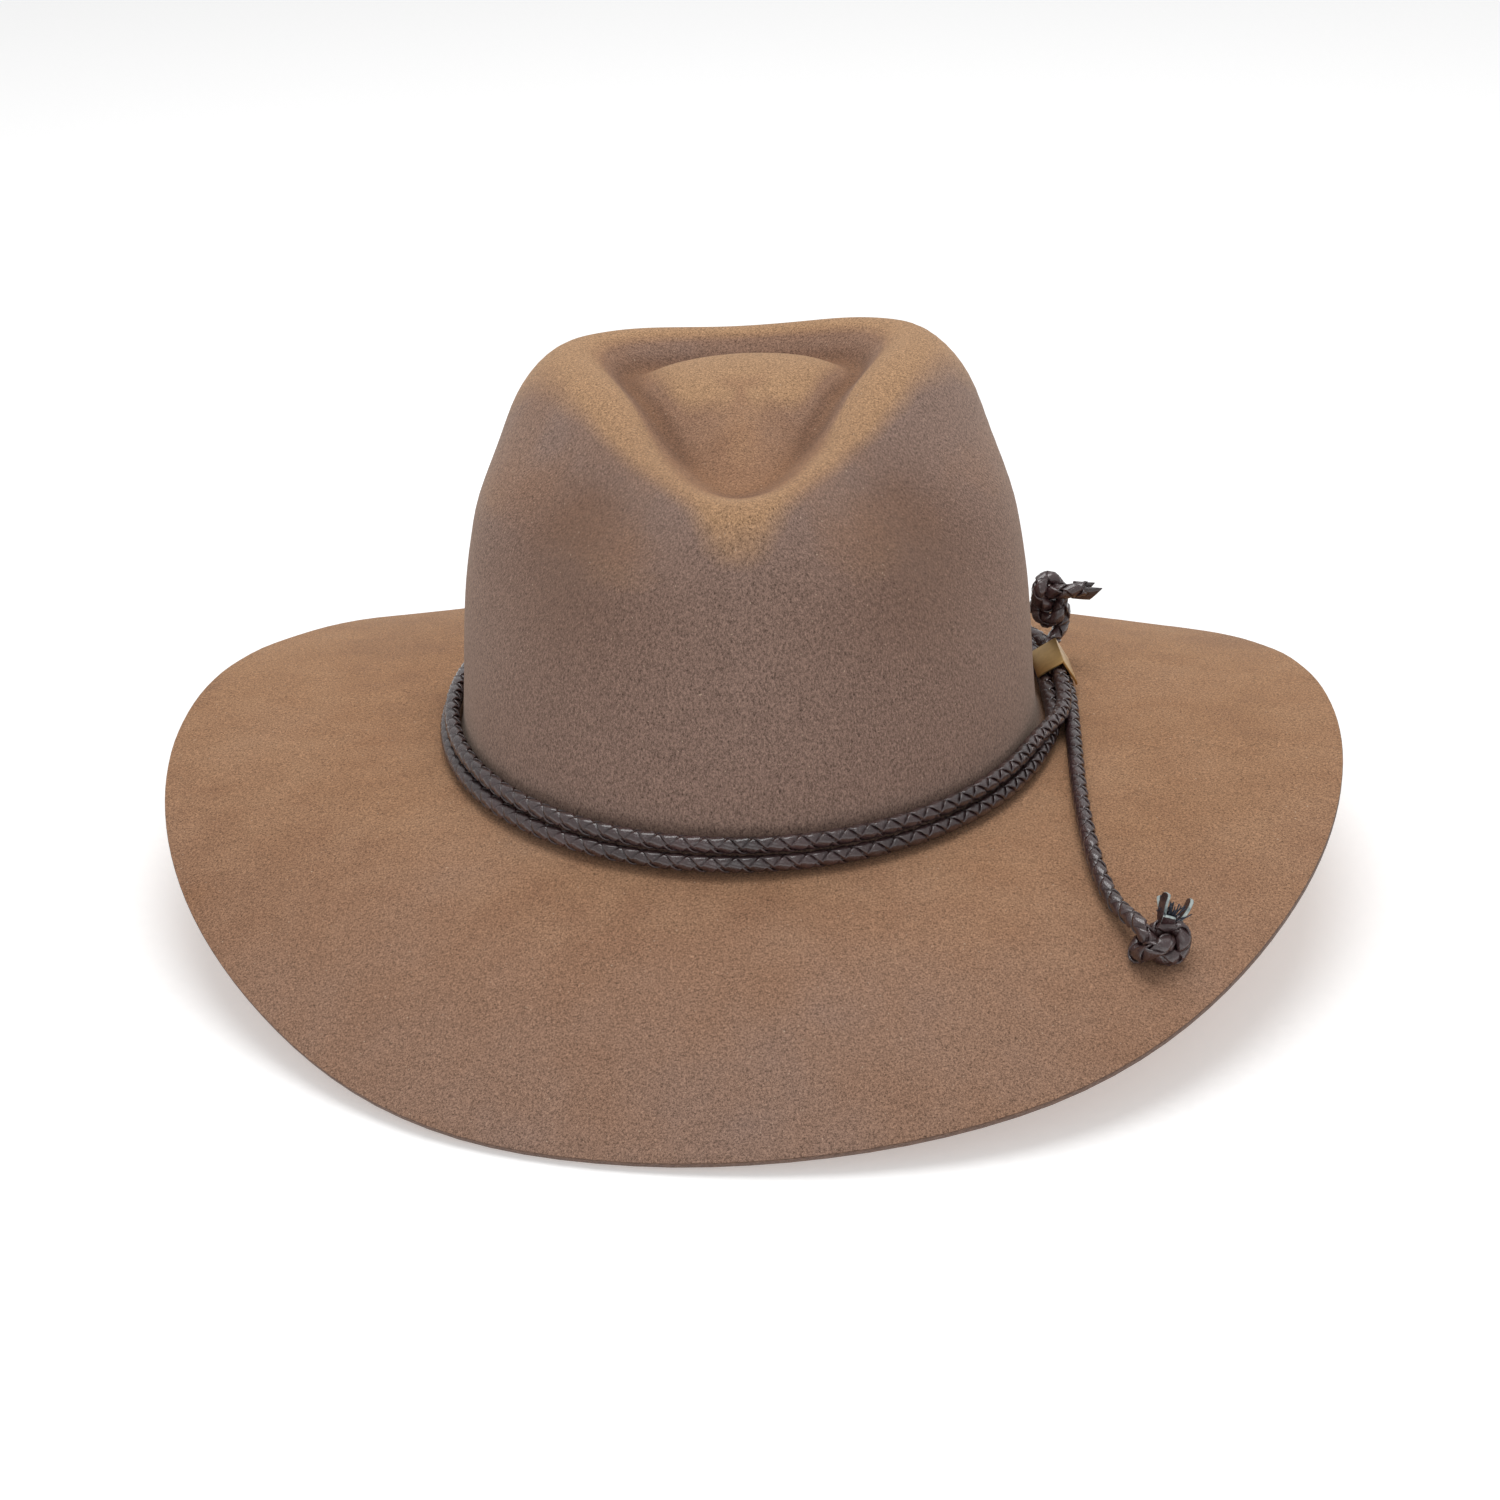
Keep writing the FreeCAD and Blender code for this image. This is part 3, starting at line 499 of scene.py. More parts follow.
# Up the wall: height above the break, how far the oval has drawn in at the front, the sides and the
# back, and how deep the two hand-pressed pinches are.
WALL_SECTIONS = [
    (3.0, -0.3, -0.3, -0.3, 0.0), (8.0, 0.0, 0.0, 0.0, 0.0), (15.0, 0.7, 0.5, 0.7, 0.0),
    (27.0, 2.4, 1.3, 2.6, 0.7), (44.0, 5.0, 2.3, 6.4, 2.8), (60.0, 8.3, 4.2, 12.2, 8.8),
    (75.0, 11.3, 6.4, 19.5, 16.6)]
PINCH_AT, PINCH_SPREAD = math.radians(52), math.radians(24)
# Over the crown: reach of the teardrop at its nose and sides, the sides' slant, then its flanks, rear
# corners and back; after that the height at the front and every thirty degrees round to the back.
CROWN_SECTIONS = [
    ((93, 56.5, 29, 79, 82, 78), (84.5, 83, 85, 91, 94, 92, 91)),
    ((90, 48.5, 27, 73, 75, 70), (93, 92, 95.5, 102.5, 105.5, 104, 101.5)),
    ((84, 41, 23, 66, 69, 61), (97, 98, 102.5, 108.5, 111, 109.4, 107.4)),
    ((76, 33, 20, 52, 59, 53), (95.5, 97, 101.5, 106.5, 108.5, 105.5, 101.5)),
    ((67, 27, 20, 43, 50, 45), (91, 93, 96, 98, 98, 96.5, 94.5)),
    ((56, 22.5, 19, 36, 42, 38), (92, 94.5, 98.5, 101, 102, 102, 101.5)),
    ((34, 14.5, 19, 22, 26, 25), (97.5, 99.5, 103, 105.5, 107.5, 108.5, 109)),
    ((10, 7, 19, 8, 8.5, 8.5), (103.5, 104, 105, 106, 107, 107.8, 108))]
TEARDROP_FIRMNESS = 9
BUMP_MIDDLE = 105.8


def teardrop(angle, nose, side, slant, flank, corner, back):
    """Reach of a rounded teardrop: a blunt nose, straight sides that widen to the rear, a round back."""
    across, rearwards = abs(math.cos(angle)), math.sin(angle)
    slanted = across * math.cos(math.radians(slant)) - rearwards * math.sin(math.radians(slant))
    edges = [-rearwards / nose, slanted / side, across / flank,
             (across + rearwards) / math.sqrt(2) / corner, rearwards / back]
    return sum(max(e, 0) ** TEARDROP_FIRMNESS for e in edges) ** (-1 / TEARDROP_FIRMNESS)


def round_the_crown(values, angle):
    """A smooth value at an angle from the front, through values set every thirty degrees."""
    last = len(values) - 1
    total = 0.0
    for k in range(last + 1):
        terms = [value * math.cos(math.pi * j * k / last) * (0.5 if j in (0, last) else 1)
                 for j, value in enumerate(values)]
        total += sum(terms) * (1 if k in (0, last) else 2) / last * math.cos(k * angle)
    return total


def oval(half_width, half_length, angle):
    t = math.atan2(math.sin(angle) / half_length, math.cos(angle) / half_width)
    point = Vector((half_width * math.cos(t), half_length * math.sin(t), 0))
    normal = Vector((half_length * math.cos(t), half_width * math.sin(t), 0)).normalized()
    return point, normal, t


def brim_ring_point(angle, part_way):
    point, normal, t = oval(CROWN_HALF.x, CROWN_HALF.y, angle)
    drop = -BRIM_DROP + BRIM_DIP * math.cos(2 * t) + BRIM_CORNER * math.cos(4 * t)
    drop += BRIM_LEAN * math.cos(t) - BRIM_TWIST * math.sin(2 * t)
    drop += BRIM_END_LEAN * (math.sin(t) + math.sin(3 * t))
    width = (BRIM_SIDE + BRIM_END) / 2 + (BRIM_SIDE - BRIM_END) / 2 * math.cos(2 * t)
    width += BRIM_FULLNESS * math.exp(-((abs(angle + math.pi / 2) - FULLEST_AT) / FULLNESS_SPREAD) ** 2)
    reach = math.sqrt(width ** 2 - FLAT_SHARE * drop ** 2)
    return BREAK + point + normal * reach * part_way + UP * drop * part_way ** BRIM_ROLL


def wall_ring_point(angle, height, front, side, back, pinch):
    towards_back = (1 + math.sin(angle)) / 2
    length = CROWN_HALF.y - (front * (1 - towards_back) + back * towards_back) * MM
    point = oval(CROWN_HALF.x - side * MM, length, angle)[0]
    from_pinch = (abs(angle + math.pi / 2) - PINCH_AT) / PINCH_SPREAD
    return BREAK + point - point.normalized() * pinch * MM * math.exp(-from_pinch ** 2) + UP * height * MM


def crown_ring_point(angle, radius, height):
    x = radius * math.cos(angle)
    lean = CROWN_LEAN * x * (height / CROWN_TOP) ** 3
    return BREAK + Vector((x, radius * math.sin(angle), height + lean)) * MM


def hat_rings():
    """Control rings of the felt's outer face, from the brim's edge in and up to the crown's top."""
    angles = [-math.pi / 2 + 2 * math.pi * (k if k <= RAYS / 2 else k - RAYS) / RAYS for k in range(RAYS)]
    rings = [[brim_ring_point(a, part_way) for a in angles] for part_way in reversed(BRIM_STATIONS)]
    rings += [[wall_ring_point(a, *section) for a in angles] for section in WALL_SECTIONS]
    for reaches, heights in CROWN_SECTIONS:
        rings.append([crown_ring_point(a, teardrop(a, *reaches), round_the_crown(heights, a + math.pi / 2))
                      for a in angles])
    return rings


# %% Modelling helpers
def start(name, add, **how):
    """A new primitive, the only thing selected, in edit mode."""
    bpy.ops.object.select_all(action="DESELECT")
    add(**how)
    piece = bpy.context.active_object
    piece.name = name
    piece.data.name = name
    bpy.ops.object.mode_set(mode="EDIT")
    return piece


def done(piece, *finishes):
    """Back to object mode, with the place put into the mesh and the finishes on."""
    if piece.mode == "EDIT":
        bpy.ops.mesh.select_all(action="SELECT")
        bpy.ops.mesh.normals_make_consistent(inside=False)
        bpy.ops.object.mode_set(mode="OBJECT")
    bpy.ops.object.transform_apply(location=True, rotation=True, scale=True)
    for finish in finishes:
        piece.data.materials.append(finish)
    return smooth(piece)


def choose(*pieces):
    """Makes these the only pieces selected, and the first of them active."""
    bpy.ops.object.select_all(action="DESELECT")
    for piece in pieces:
        piece.select_set(True)
    bpy.context.view_layer.objects.active = pieces[0]


def smooth(piece, angle=180):
    choose(piece)
    bpy.ops.object.shade_smooth_by_angle(angle=math.radians(angle), keep_sharp_edges=False)
    return piece


def shape_with(piece, kind, **settings):
    """A modifier, set up and applied."""
    choose(piece)
    modifier = piece.modifiers.new(kind.lower(), kind)
    for word, value in settings.items():
        setattr(modifier, word, value)
    bpy.ops.object.modifier_apply(modifier=modifier.name)
    return piece


def round_edges(piece, width, segments, sharper_than):
    """A small bevel on the edges that turn by more than an angle in degrees."""
    shape_with(piece, "BEVEL", width=width, segments=segments, limit_method="ANGLE",
               angle_limit=math.radians(sharper_than))


def start_edge(name, width, ends):
    """One edge between two ends, ready to extrude: a plane less its other two corners."""
    strip = start(name, bpy.ops.mesh.primitive_plane_add, size=width)
    mesh = bmesh.from_edit_mesh(strip.data)
    bmesh.ops.delete(mesh, geom=[v for v in mesh.verts if v.co.x > 0], context="VERTS")
    for v, end in zip(mesh.verts, ends):
        v.co = end
    bmesh.update_edit_mesh(strip.data)
    bpy.ops.mesh.select_all(action="SELECT")
    return strip


def extrude(step):
    bpy.ops.mesh.extrude_region_move(TRANSFORM_OT_translate={"value": step})


def joined(name, parts):
    choose(*parts)
    bpy.ops.object.join()
    whole = bpy.context.active_object
    whole.name = whole.data.name = name
    return whole


def placed(place, axis, way):
    """Takes a piece modelled along an axis to its place, and turns the axis to a new way."""
    return Matrix.Translation(place) @ axis.rotation_difference(way).to_matrix().to_4x4()


def lay_selected_on(piece, ring):
    """Moves the selected vertices, one for each ray, to a ring's points."""
    mesh = bmesh.from_edit_mesh(piece.data)
    chosen = [v for v in mesh.verts if v.select]
    half_step = math.pi / len(ring)

    def around(v):
        return (math.atan2(v.co.y, v.co.x) + math.pi / 2 + half_step) % (2 * math.pi)

    for v, point in zip(sorted(chosen, key=around), ring):
        v.co = point
    bmesh.update_edit_mesh(piece.data)


# %% Block the felt
def bump_top_height(ring):
    return sum(point.z for point in ring) / len(ring)


def block(name, rings, closed, levels):
    """Extrudes a shell level by level through rings of points, and smooths it."""
    shell = start(name, bpy.ops.mesh.primitive_circle_add, vertices=RAYS, radius=CROWN_HALF.y)
    lay_selected_on(shell, rings[0])
    for ring in rings[1:]:
        bpy.ops.mesh.extrude_region_move()
        lay_selected_on(shell, ring)
    if closed:
        bpy.ops.mesh.extrude_region_move()
        bpy.ops.mesh.merge(type="CENTER")
        bpy.ops.transform.translate(value=(0, 0, BREAK.z + BUMP_MIDDLE * MM - bump_top_height(rings[-1])))
    bpy.ops.mesh.select_all(action="SELECT")
    bpy.ops.mesh.normals_make_consistent(inside=False)
    bpy.ops.object.mode_set(mode="OBJECT")
    shape_with(shell, "SUBSURF", levels=levels, render_levels=levels)
    outwards = sum(face.normal.dot(face.center - BREAK) * face.area for face in shell.data.polygons)
    if outwards < 0:
        shell.data.flip_normals()
    print(name, len(shell.data.polygons), "faces, up to", round(max(v.co.z for v in shell.data.vertices), 4))
    return shell


# Small unevenness that steaming and handling leave.
UNEVEN = 0.35 * MM
UNEVEN_SCALE = 28


def handle_felt(felt):
    normals = [v.normal.copy() for v in felt.data.vertices]
    for v, normal in zip(felt.data.vertices, normals):
        v.co += normal * UNEVEN * noise.fractal(v.co * UNEVEN_SCALE, 1.0, 2.0, 2)


# Where the painted shade of the pinched hollows lies, and how far it spreads.
HOLLOW_AT, HOLLOW_SPREAD = math.radians(43), math.radians(28)
HOLLOW_HEIGHT, HOLLOW_RISE, HOLLOW_FALL = 76 * MM, 16 * MM, 32 * MM
FOLD_SMOOTHING = 6
FOLD_SHARPNESS = 22.0
STEEPEST = 1.3
# The nap's way, taken as the way of the painted light: faces towards it, up and a little to the rear,
# look warmest, and faces turned away get painted grey shade.
PAINTED_LIGHT_WAY = Vector((0, 0.35, 0.94))


def hollow_shade_mask(point):
    """1 in the middle of the hollow that each hand-pressed pinch leaves beside the nose, where shade is
    painted.
    """
    from_front = abs(math.atan2(point.x, -point.y))
    round_it = (from_front - HOLLOW_AT) / HOLLOW_SPREAD
    up_it = (point.z - HOLLOW_HEIGHT) / (HOLLOW_RISE if point.z > HOLLOW_HEIGHT else HOLLOW_FALL)
    return math.exp(-round_it ** 2 - up_it ** 2)


def mark_wear_and_painted_light(felt):
    """Writes where the folds, the steep faces and the hollows are, for the finish to paint wear, highlight
    and shade by.
    """
    mesh = bmesh.new()
    mesh.from_mesh(felt.data)
    mesh.verts.ensure_lookup_table()
    fold = []
    for v in mesh.verts:
        around = [e.other_vert(v).co for e in v.link_edges]
        middle = sum(around, Vector()) / len(around)
        size = sum((p - v.co).length for p in around) / len(around)
        fold.append((v.co - middle).dot(v.normal) / size ** 2 if not v.is_boundary else 0.0)
    neighbours = [[e.other_vert(v).index for e in v.link_edges] for v in mesh.verts]
    for _ in range(FOLD_SMOOTHING):
        fold = [(own + sum(fold[i] for i in near) / len(near)) / 2 for own, near in zip(fold, neighbours)]
    # How far each face turns from the light's way: the finish paints grey shade there.
    steep = [min(STEEPEST, 1 - v.normal.dot(PAINTED_LIGHT_WAY)) for v in mesh.verts]
    # The pinched hollows, where the finish paints a darker shade.
    pinch = [hollow_shade_mask(v.co - BREAK) for v in mesh.verts]
    mesh.free()
    # Folds: convex ones get handling wear and a painted highlight, concave ones a painted shade.
    folds_for_wear_and_shade = [max(-1, min(1, f / FOLD_SHARPNESS)) for f in fold]
    for name, values in (("fold", folds_for_wear_and_shade), ("steep", steep), ("pinch", pinch)):
        layer = felt.data.attributes.new(name, "FLOAT", "POINT")
        layer.data.foreach_set("value", values)
    print("folds from", round(min(fold), 1), "to", round(max(fold), 1))


felt_hat = block("felt_hat", hat_rings(), True, 2)
handle_felt(felt_hat)
mark_wear_and_painted_light(felt_hat)
for finish in (FELT, CUT_EDGE):
    felt_hat.data.materials.append(finish)
shape_with(felt_hat, "SOLIDIFY", thickness=FELT_THICKNESS, offset=-1, use_even_offset=True,
           material_offset_rim=1)
round_edges(felt_hat, 0.5 * MM, 2, 60)
smooth(felt_hat)
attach(felt_hat, HAT)
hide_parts("felt_body")


# %% [markdown]
# The satin lining follows the inside of the crown, so it is blocked through the felt's own levels and
# then pulled in past the felt. It is sewn from two pieces: a side strip, cut straight and
# shirred into small upright pleats, and a shaped tip.

# %% Lining
LINING_INSET = FELT_THICKNESS + 1.3 * MM
SATIN_THICKNESS = 0.4 * MM
FIRST_LINING_RING = len(BRIM_STATIONS) + 4
SEAM_RING = len(BRIM_STATIONS) + len(WALL_SECTIONS)
PLEATS, PLEAT_DEPTH = 48, 0.5 * MM


def make_satin_finish():
    satin = Finish("lining_satin", sheen_weight=0.3, specular_ior_level=0.6)
    threads = satin.noise(satin.place((1, 1, 0.15)), 1500, 2, 0.6)
    cloud = satin.noise(satin.place(), 30, 2, 0.5)
    colour = satin.mix(satin.spread(cloud, 0.35, 0.65), shade(92, 62, 42), shade(120, 84, 56))
    return satin.surface(base_color=colour, roughness=threads * 0.18 + 0.26,
                         normal=satin.bump(threads, 0.0002, 0.5))


def on_the_surface(rings, i):
    """Where the smooth surface runs beside a control ring."""
    return [(rings[i - 1][k] + rings[i][k] * 4 + rings[i + 1][k]) / 6 for k in range(RAYS)]


def cut_lining(name, rings, closed):
    cloth = block(name, rings, closed, 3)
    bpy.ops.object.mode_set(mode="EDIT")
    bpy.ops.mesh.select_all(action="SELECT")
    bpy.ops.transform.shrink_fatten(value=-LINING_INSET)
    bpy.ops.object.mode_set(mode="OBJECT")
    return cloth


def shirr(cloth):
    """Upright pleats, deepest at the seam with the tip."""
    low = min(v.co.z for v in cloth.data.vertices)
    high = max(v.co.z for v in cloth.data.vertices)
    for v in cloth.data.vertices:
        around = math.atan2(v.co.y, v.co.x)
        depth = PLEAT_DEPTH * (0.35 + 0.65 * (v.co.z - low) / (high - low))
        v.co -= Vector((math.cos(around), math.sin(around), 0)) * depth * (1 + math.sin(PLEATS * around))


def finish_lining(cloth, node):
    cloth.data.materials.append(SATIN)
    shape_with(cloth, "SOLIDIFY", thickness=SATIN_THICKNESS, offset=-1)
    smooth(cloth)
    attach(cloth, HAT)
    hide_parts(node)


def cloth_area(cloth):
    return sum(face.area for face in cloth.data.polygons)


SATIN = make_satin_finish()
crown_rings = hat_rings()
side_rings = [on_the_surface(crown_rings, FIRST_LINING_RING)] + crown_rings[FIRST_LINING_RING + 1:SEAM_RING]
side_rings.append(on_the_surface(crown_rings, SEAM_RING))
tip_rings = [on_the_surface(crown_rings, SEAM_RING)] + crown_rings[SEAM_RING + 1:]
lining_side = cut_lining("lining_side_satin", side_rings, False)
shirr(lining_side)
lining_tip = cut_lining("lining_tip_satin", tip_rings, True)
print("lining areas", round(cloth_area(lining_side), 4), round(cloth_area(lining_tip), 4))
finish_lining(lining_side, "lining_side")
finish_lining(lining_tip, "lining_tip")

# %% [markdown]
# The sweatband is the leather strip that touches the head. It stands inside the crown and leans in
# with the felt. A ring is extruded upwards, with two pressed lines near its top edge, and
# Solidify gives the leather its thickness.

# %% Sweatband
SWEATBAND_INSET = FELT_THICKNESS + 0.3 * MM
SWEATBAND_LEATHER = 1.1 * MM
SWEATBAND_LEAN = Vector((5.6, 8.8, 0)) * MM
PRESSED_LINE = 0.25 * MM
# Height of each level up the strip, and whether a line is pressed in there.
SWEATBAND_LEVELS = [(0.0, 0), (3, 0), (12, 0), (24, 0), (34.6, 0), (35.2, 1), (35.8, 0), (38.6, 0), (39.2, 1),
                    (39.8, 0), (43.4, 0), (44.0, 0)]


def make_leather_finish(name, dark, light, roughness, grain_scale, coat, glaze=1.5, shine=0.5):
    leather = Finish(name, coat_roughness=0.13, coat_ior=glaze, specular_ior_level=shine)
    where = leather.place()
    pores = leather.add("TexVoronoi", {"feature": "DISTANCE_TO_EDGE"},
                        {"Vector": where, "Scale": grain_scale}, "Distance")
    cloud = leather.noise(where, 60, 3, 0.6)
    fine = leather.noise(where, grain_scale * 1.7, 2, 0.6)
    grain = leather.spread(pores, 0.0, 0.25)
    colour = leather.mix(leather.spread(cloud, 0.3, 0.7), dark, light)
    creased = leather.mix(leather.spread(0.4 - grain, 0.0, 0.4) * 0.35, colour, shade(20, 13, 11))
    return leather.surface(base_color=creased, roughness=fine * 0.2 + roughness, coat_weight=coat,
                           normal=leather.bump(grain + fine * 0.4, 0.00015, 0.6))


def make_sweatband():
    foot = (CROWN_HALF.x - SWEATBAND_INSET, CROWN_HALF.y - SWEATBAND_INSET)
    band = start("sweatband_leather_strip", bpy.ops.mesh.primitive_circle_add, vertices=96, radius=foot[0],
                 location=BREAK)
    bpy.ops.transform.resize(value=(1, foot[1] / foot[0], 1), center_override=BREAK)
    top = SWEATBAND_LEVELS[-1][0]
    before = (0, foot[0], foot[1])
    for height, pressed in SWEATBAND_LEVELS[1:]:
        across = foot[0] - SWEATBAND_LEAN.x * height / top + PRESSED_LINE * pressed
        along = foot[1] - SWEATBAND_LEAN.y * height / top + PRESSED_LINE * pressed
        extrude((0, 0, (height - before[0]) * MM))
        bpy.ops.transform.resize(value=(across / before[1], along / before[2], 1), center_override=BREAK)
        before = (height, across, along)
    done(band, SWEAT_LEATHER)
    if band.data.polygons[0].normal.dot(band.data.polygons[0].center - BREAK) < 0:
        band.data.flip_normals()
    shape_with(band, "SOLIDIFY", thickness=SWEATBAND_LEATHER, offset=-1)
    round_edges(band, 0.25 * MM, 2, 50)
    shape_with(band, "SUBSURF", levels=1, render_levels=1)
    smooth(band)
    return band


SWEAT_LEATHER = make_leather_finish(
    "sweatband_leather", shade(86, 54, 36), shade(112, 72, 48), 0.45, 900, 0.1)
sweatband = make_sweatband()
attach(sweatband, HAT)
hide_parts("sweatband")
print("sweatband faces", len(sweatband.data.polygons))

# %% [markdown]
# The reed is a plastic wire sewn into a woven tape; its solid already has the right shape, so it
# keeps it and gets a woven finish. The stitches under it are short lengths of thread with
# rounded ends that dip into the tape: one is modelled, then copied round the oval.

# %% Reed tape and stitches
STITCHES, STITCH_LENGTH, THREAD = 64, 4.0 * MM, 0.7 * MM


def make_woven_finish(name, dark, light, threads_per_metre):
    woven = Finish(name, roughness=0.85, sheen_weight=0.25)
    where = woven.place()
    ribs = woven.add("TexWave", {"bands_direction": "Z"}, {
        "Vector": where, "Scale": threads_per_metre / 2, "Distortion": 1.5, "Detail": 2.0}, "Fac")
    fibres = woven.noise(where, threads_per_metre * 2, 2, 0.6)
    mixed = ribs * 0.6 + fibres * 0.4
    return woven.surface(base_color=woven.ramp(mixed, (0.25, dark), (0.75, light)),
                         normal=woven.bump(mixed, 0.0002, 0.6))


def sew_stitches():
    inset = SWEATBAND_INSET + 0.9 * MM
    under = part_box("sweatband_stitches")[0][2] + THREAD / 2
    stitch = start("reed_stitches", bpy.ops.mesh.primitive_cylinder_add, vertices=8, radius=THREAD / 2,
                   depth=STITCH_LENGTH, rotation=(math.pi / 2, 0, 0))
    bpy.ops.mesh.bevel(offset=THREAD * 0.3, segments=2)
    bpy.ops.mesh.select_all(action="SELECT")
    done(stitch, THREAD_FINISH)
    copies = [stitch]
    while len(copies) < STITCHES:
        copies.append(stitch.copy())
        copies[-1].data = stitch.data.copy()
        bpy.context.collection.objects.link(copies[-1])
    for k, copy in enumerate(copies):
        angle = 2 * math.pi * (k + 0.5) / STITCHES
        point, normal = oval(CROWN_HALF.x - inset, CROWN_HALF.y - inset, angle)[:2]
        copy.data.transform(placed(point + UP * under, Vector((0, 1, 0)), Vector((-normal.y, normal.x, 0))))
    return joined("reed_stitches", copies)


THREAD_FINISH = make_woven_finish("sewing_thread", shade(70, 48, 34), shade(150, 116, 84), 4000)
REED_FINISH = make_woven_finish("reed_tape", shade(38, 27, 22), shade(78, 58, 46), 1800)
stitches = sew_stitches()
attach(stitches, HAT)
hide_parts("sweatband_stitches")
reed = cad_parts["sweatband_reed"]
reed.data.materials.clear()
reed.data.materials.append(REED_FINISH)
print("stitches", STITCHES, "faces", len(stitches.data.polygons))

# %% [markdown]
# The small bow at the back hides the joint of the sweatband. It is one narrow ribbon: an edge as
# wide as the ribbon is extruded along each loop and tail, and a short band wraps the middle.

# %% Ribbon bow
RIBBON, RIBBON_THICKNESS = 6.0 * MM, 0.4 * MM
bow_low, bow_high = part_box("sweatband_bow")
BOW_MIDDLE = Vector((0, (bow_low.y + bow_high.y) / 2, bow_high.z - RIBBON / 2))
# Each path lies in the ribbon's flat plane: across, and away from the sweatband.
LOOP_PATH = [(0.5, -0.3), (4, -1.6), (9, -2.0), (13, -1.1), (13.8, 0.2), (12.5, 1.2), (8, 1.3), (4, 0.9),
             (0.5, 0.5)]
WRAP_PATH = [(-2.2, 0.9), (-2.0, -1.4), (-1.0, -2.3), (1.0, -2.3), (2.0, -1.4), (2.2, 0.9)]
TAIL_PATH = [(0.8, -0.4), (3.0, -0.6), (6.0, 0.2), (9.0, -0.3), (12.5, 0.3)]
NARROW_RIBBON = RIBBON * 0.8
TAIL_TURNS = (62, 118)


def ribbon(name, path, width, turn=0.0):
    """A ribbon's width extruded along a path, then turned in its own plane."""
    x, y = path[0]
    strip = start_edge(name, width, [(x * MM, y * MM, side * width / 2) for side in (-1, 1)])
    for (x1, y1), (x2, y2) in zip(path, path[1:]):
        extrude(((x2 - x1) * MM, (y2 - y1) * MM, 0))
    done(strip, RIBBON_FINISH)
    strip.data.transform(Matrix.Translation(BOW_MIDDLE) @ Matrix.Rotation(turn, 4, "Y"))
    shape_with(strip, "SOLIDIFY", thickness=RIBBON_THICKNESS, offset=0)
    shape_with(strip, "SUBSURF", levels=2, render_levels=2)
    return strip


def tie_bow():
    parts = [ribbon("bow_wrap", WRAP_PATH, NARROW_RIBBON)]
    for side, tail_turn in enumerate(TAIL_TURNS):
        parts.append(ribbon("bow_loop_%d" % side, LOOP_PATH, RIBBON, math.pi * side))
        parts.append(ribbon("bow_tail_%d" % side, TAIL_PATH, NARROW_RIBBON, math.radians(tail_turn)))
    return smooth(joined("ribbon_bow", parts))


RIBBON_FINISH = make_woven_finish("bow_ribbon", shade(52, 36, 28), shade(96, 70, 52), 2600)
bow = tie_bow()
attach(bow, HAT)
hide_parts("sweatband_bow")
print("bow faces", len(bow.data.polygons))

# %% [markdown]
# The cord's laces are cut from glazed leather: near black-brown, with a purplish gloss where the
# glaze catches light. One finish serves the braid, the loose ends and the cut tip.

# %% Braid the cord
LACE_FINISH = make_leather_finish(
    "glazed_lace", shade(46, 26, 28), shade(76, 49, 50), 0.22, 1500, 0.9, 1.65, 0.6)
cord, cord_line = braid("braided_cord", cord_route(), LACE_FINISH)
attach(cord, BAND)
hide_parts("band_cord", "band_tail_lower", "band_tail_upper", "knot_lower", "knot_upper")

# %% [markdown]
# Past the lower knot the braid ends: four laces stand apart with pale cut edges, round a dark tuft of
# the core threads that they were braided on. Past the upper knot the laces are pressed together and
# cut off at a slant.

# %% Cord ends
LACE_END = 3.4 * MM
LACE_END_THICKNESS = 1.0 * MM
ENDS_WAY = Vector((0.25, 0.35, 0.90)).normalized()
ENDS_FROM = BREAK + Vector((111.5, -130.0, -6.5)) * MM
CURL_STEPS = 5
TUFT_THREADS, THREAD_STEPS = 46, 7
CORE_THREAD = 0.34 * MM


def make_plain_finish(name, dark, light, roughness, scale):
    plain = Finish(name, roughness=roughness)
    cloud = plain.noise(plain.place(), scale, 3, 0.6)
    return plain.surface(base_color=plain.ramp(cloud, (0.3, dark), (0.7, light)),
                         normal=plain.bump(cloud, 0.0001, 0.5))


def lace_end(name, turn, splay, curl, length):
    """One loose lace: an edge as wide as the lace, extruded outwards in a curve."""
    strip = start_edge(name, LACE_END, [(1.6 * MM, side * LACE_END / 2, 0) for side in (-1, 1)])
    for k in range(CURL_STEPS):
        lean = splay + curl * (k + 0.5) / CURL_STEPS
        extrude((math.sin(lean) * length / CURL_STEPS, 0, math.cos(lean) * length / CURL_STEPS))
    done(strip, LACE_FINISH, LACE_EDGE)
    strip.data.transform(placed(ENDS_FROM, UP, ENDS_WAY) @ Matrix.Rotation(turn, 4, "Z"))
    shape_with(strip, "SUBSURF", levels=1, render_levels=1)
    shape_with(strip, "SOLIDIFY", thickness=LACE_END_THICKNESS, offset=0, material_offset_rim=1)
    round_edges(strip, 0.12 * MM, 1, 60)
    return smooth(strip, 40)


